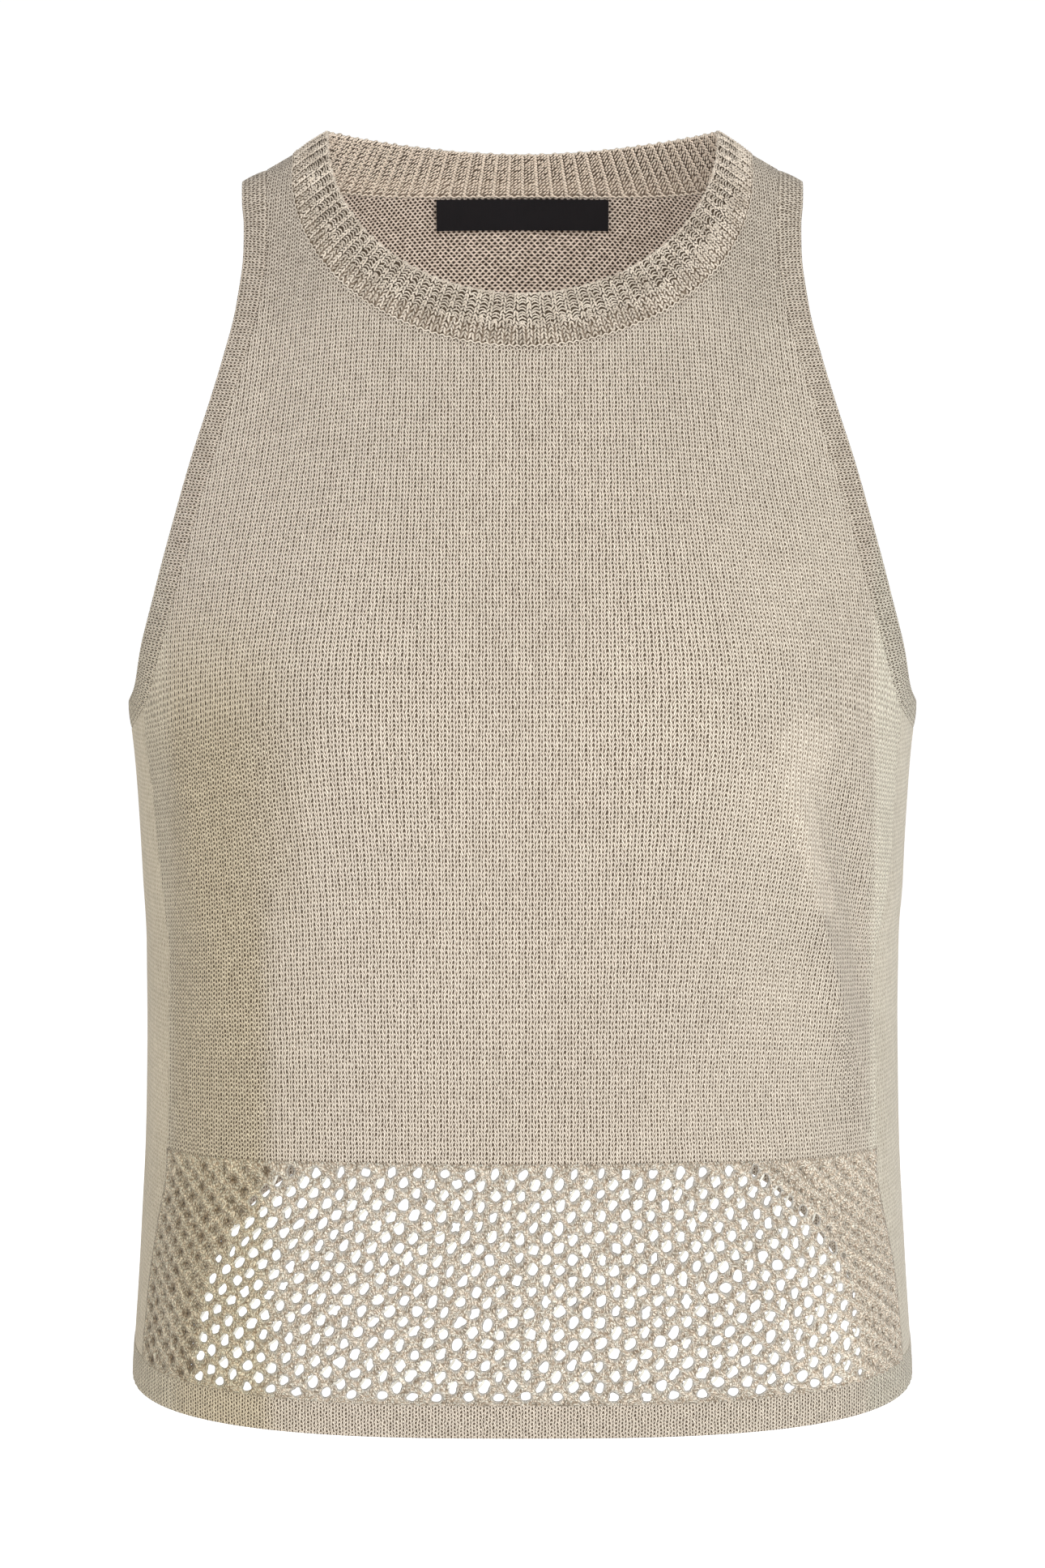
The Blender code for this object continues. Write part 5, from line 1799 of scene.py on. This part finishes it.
def armhole_pieces(name, mirror):
    shares = np.linspace(0, 1, 13)
    front_t = np.linspace(0, 1, 120) ** 1.5
    spots = []
    for curves, t in ((ARM_FRONT, front_t), (ARM_BACK, front_t[-2:0:-1])):
        edge = np.stack([read(curves[0], t), read(curves[1], t)], -1)
        seam = np.stack([read(curves[2], t), read(curves[3], t)], -1)
        spots.append(edge[:, None] + (seam - edge)[:, None] * shares[None, :, None])
    spot = np.concatenate(spots)
    p = place(spot[..., 0], spot[..., 1], float(mirror))
    ribbon = Ribbon(p, True, shares)
    total = ribbon.run[-1]
    wales = int(round(total / 2.25))
    cols, rows = wales * 4, 9
    u = np.arange(cols) / 4
    run = u / wales * total
    share = np.linspace(-0.0, 1.0, rows)
    points, _ = ribbon.at(run[None, :], share[:, None])
    uv = np.stack(np.broadcast_arrays(u[None, :] + 900, share[:, None] * 6.0), -1)
    cloth = Cloth()
    cloth.grid(points, uv, 0.92, ring=True)
    crown = np.sin(np.clip(share * 0.94 + 0.06, 0, 1) * math.pi) ** 0.5
    ridge = 0.13 * np.cos(u * 2 * math.pi)[None, :] * (0.4 + 0.6 * crown[:, None])
    thickness = np.broadcast_to(0.75 + 0.95 * crown[:, None], (rows, cols)).reshape(-1)
    obj = cloth.shell(name, thickness, BAND_KNIT, PURL,
                      relief=ridge.reshape(-1), inner_relief=ridge.reshape(-1) * 0.5)
    return obj, ribbon


def hem_piece(name, front):
    z_top = -477.12 if front else HEM_TOP_Z
    rows = 10
    levels = np.linspace(HEM_Z, z_top, rows)
    cloth = Cloth()
    if front:
        count = 66 * 4
        lines = np.array([even_line(lambda p: z + 0 * p, HALF_PI, float(seam_psi(z)), count)
                          for z in levels])
        psi, z, mirror = two_sides(lines)
        uv = np.stack([CHART.look(CHART.from_front, psi, z) * mirror / WALE,
                       (z - HEM_Z) / 1.5], -1)
    else:
        lines = np.array([back_line(z, 1.0, 84 * 4, 26 * 1) for z in levels])
        psi, z, mirror = two_sides(lines)
        level = np.broadcast_to(levels[:, None], psi.shape)
        uv = np.stack([CHART.look(CHART.from_back, psi, z) * mirror / WALE + 500,
                       (level - HEM_Z) / 1.5], -1)
    points = place(psi, z, mirror)
    tone = np.full(psi.shape, 0.75)
    cloth.grid(points, uv, tone)
    share = (np.arange(rows) / (rows - 1))[:, None]
    full = np.sin(np.clip(0.10 + 0.55 * share, 0, 1) * math.pi) ** 0.5
    thickness = np.broadcast_to(0.9 + 0.9 * full, psi.shape).reshape(-1)
    ridge = 0.15 * np.cos(uv[..., 0] * 2 * math.pi) * (1 - 0.6 * share)
    obj = cloth.shell(name, thickness, HEM_KNIT, PURL if front else SIDE_KNIT,
                      relief=ridge.reshape(-1),
                      inner_relief=ridge.reshape(-1) * 0.5)
    return obj


def seam_lines():
    """Linked seams down the sides."""
    yarns = Yarns()
    # side seams, a low ridge on the inside
    z = np.linspace(-488.0, float(arm_seam(ARM_FRONT, SPLIT)[1]) - 2, 190)
    psi = seam_psi(z)
    for mirror in (-1, 1):
        p = place(psi, z, mirror, -1.15)
        q = place(psi, z, mirror, 0.0)
        n = q - p
        n /= np.linalg.norm(n, axis=-1, keepdims=True)
        high = 0.55 + 0.10 * np.sin(np.arange(len(z)) * 1.9)
        yarns.add(p[None], n[None], 0.95, high[None], 6)
    obj = yarns.build("side_seams", YARN_IN_LIT)
    return obj


def label_piece():
    inward = -(2.6 / 2 + 0.3 + 1.0 / 2 + 0.5)
    cols, rows = 61, 15
    cloth = Cloth()
    x = np.linspace(-LABEL_HALF, LABEL_HALF, cols)
    z = np.linspace(LABEL_TOP_Z - LABEL_DROP, LABEL_TOP_Z, rows)
    xx, zz = np.meshgrid(x, z)
    psi = psi_at_x(np.abs(xx), zz, -1)
    points = place(psi, zz, np.where(xx < 0, -1.0, 1.0), inward, False)
    uv = np.stack([xx, zz], -1)
    cloth.grid(points, uv, 0.5)
    end = np.exp(-((LABEL_HALF - np.abs(xx)) / 2.2) ** 2)
    edge = np.minimum((zz - z[0]) / 1.2, (z[-1] - zz) / 1.2)
    thick = 0.62 + 0.30 * end - 0.25 * (1 - np.clip(edge, 0, 1))
    obj = cloth.shell("neck_tab", thick.reshape(-1), SATIN, SATIN, sharp=40)
    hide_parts("neck_label")
    return obj


# ---------------------------------------------------------------- build
front = front_piece()
back = back_piece()
lace, lace_threads = lace_piece()
neck_base, neck_cords = neck_pieces()
arm_left, _ = armhole_pieces("armhole_edge_left", 1)
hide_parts("armhole_band_left")
arm_right, _ = armhole_pieces("armhole_edge_right", -1)
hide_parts("armhole_band_right")
hem_front = hem_piece("hem_front", True)
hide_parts("front_hem_band")
hem_back = hem_piece("hem_back", False)
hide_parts("back_hem_band")
seams = seam_lines()
tab = label_piece()
PIECES = [front, back, lace, lace_threads, neck_base, *neck_cords, arm_left,
          arm_right, hem_front, hem_back, seams, tab]
for obj in PIECES:
    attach(obj, "root")

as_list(neck_cords)

# ---------------------------------------------------------------- stage
def stage():
    bpy.ops.mesh.primitive_circle_add(vertices=96, radius=60.0, fill_type="NGON",
                                      location=(0, 0, -1.1))
    floor = bpy.context.object
    floor.name = "floor"
    floor.data.materials.append(floor_paint("floor_paint"))

    world = bpy.data.worlds.new("studio")
    world.use_nodes = True
    bpy.context.scene.world = world
    sky = world.node_tree.nodes["Background"]
    sky.inputs["Color"].default_value = (1.0, 1.0, 1.0, 1.0)
    sky.inputs["Strength"].default_value = 0.45

    def area(name, spot, target, size, energy, color):
        light = bpy.data.lights.new(name, "AREA")
        light.shape = "RECTANGLE"
        light.size, light.size_y = size
        light.energy = energy
        light.color = color
        obj = bpy.data.objects.new(name, light)
        bpy.context.scene.collection.objects.link(obj)
        obj.location = spot
        gaze = Vector(target) - Vector(spot)
        obj.rotation_euler = gaze.to_track_quat("-Z", "Y").to_euler()

    area("key", (1.4, -2.5, 1.0), (0, 0, -0.25), (1.4, 1.4), 24.0, (1.0, 0.99, 0.97))
    area("fill", (-2.4, -1.8, 0.7), (0, 0, -0.25), (1.8, 1.8), 3.0, (0.98, 0.99, 1.0))
    area("front", (0.1, -2.2, 0.8), (0, 0.05, -0.05), (1.0, 1.0), 26.0, (1.0, 1.0, 1.0))
    area("rear", (0.6, 2.4, 1.2), (0, 0, -0.25), (1.8, 1.8), 14.0, (1.0, 1.0, 1.0))


def camera():
    data = bpy.data.cameras.new("camera")
    data.sensor_fit = "AUTO"
    data.sensor_width = 36.0
    data.lens = 36.0 * 6344.0 / 1935.0
    data.shift_y = -1.5 / 1935.0
    data.clip_start, data.clip_end = 0.05, 200.0
    obj = bpy.data.objects.new("camera", data)
    bpy.context.scene.collection.objects.link(obj)
    obj.location = (0.0, -2.0, 0.095)
    obj.rotation_euler = (math.radians(90.0 - 9.93), 0.0, 0.0)
    bpy.context.scene.camera = obj


stage()
camera()
scene = bpy.context.scene
scene.view_settings.view_transform = "Standard"
scene.view_settings.look = "None"
scene.view_settings.exposure = 0.0
scene.view_settings.gamma = 1.0
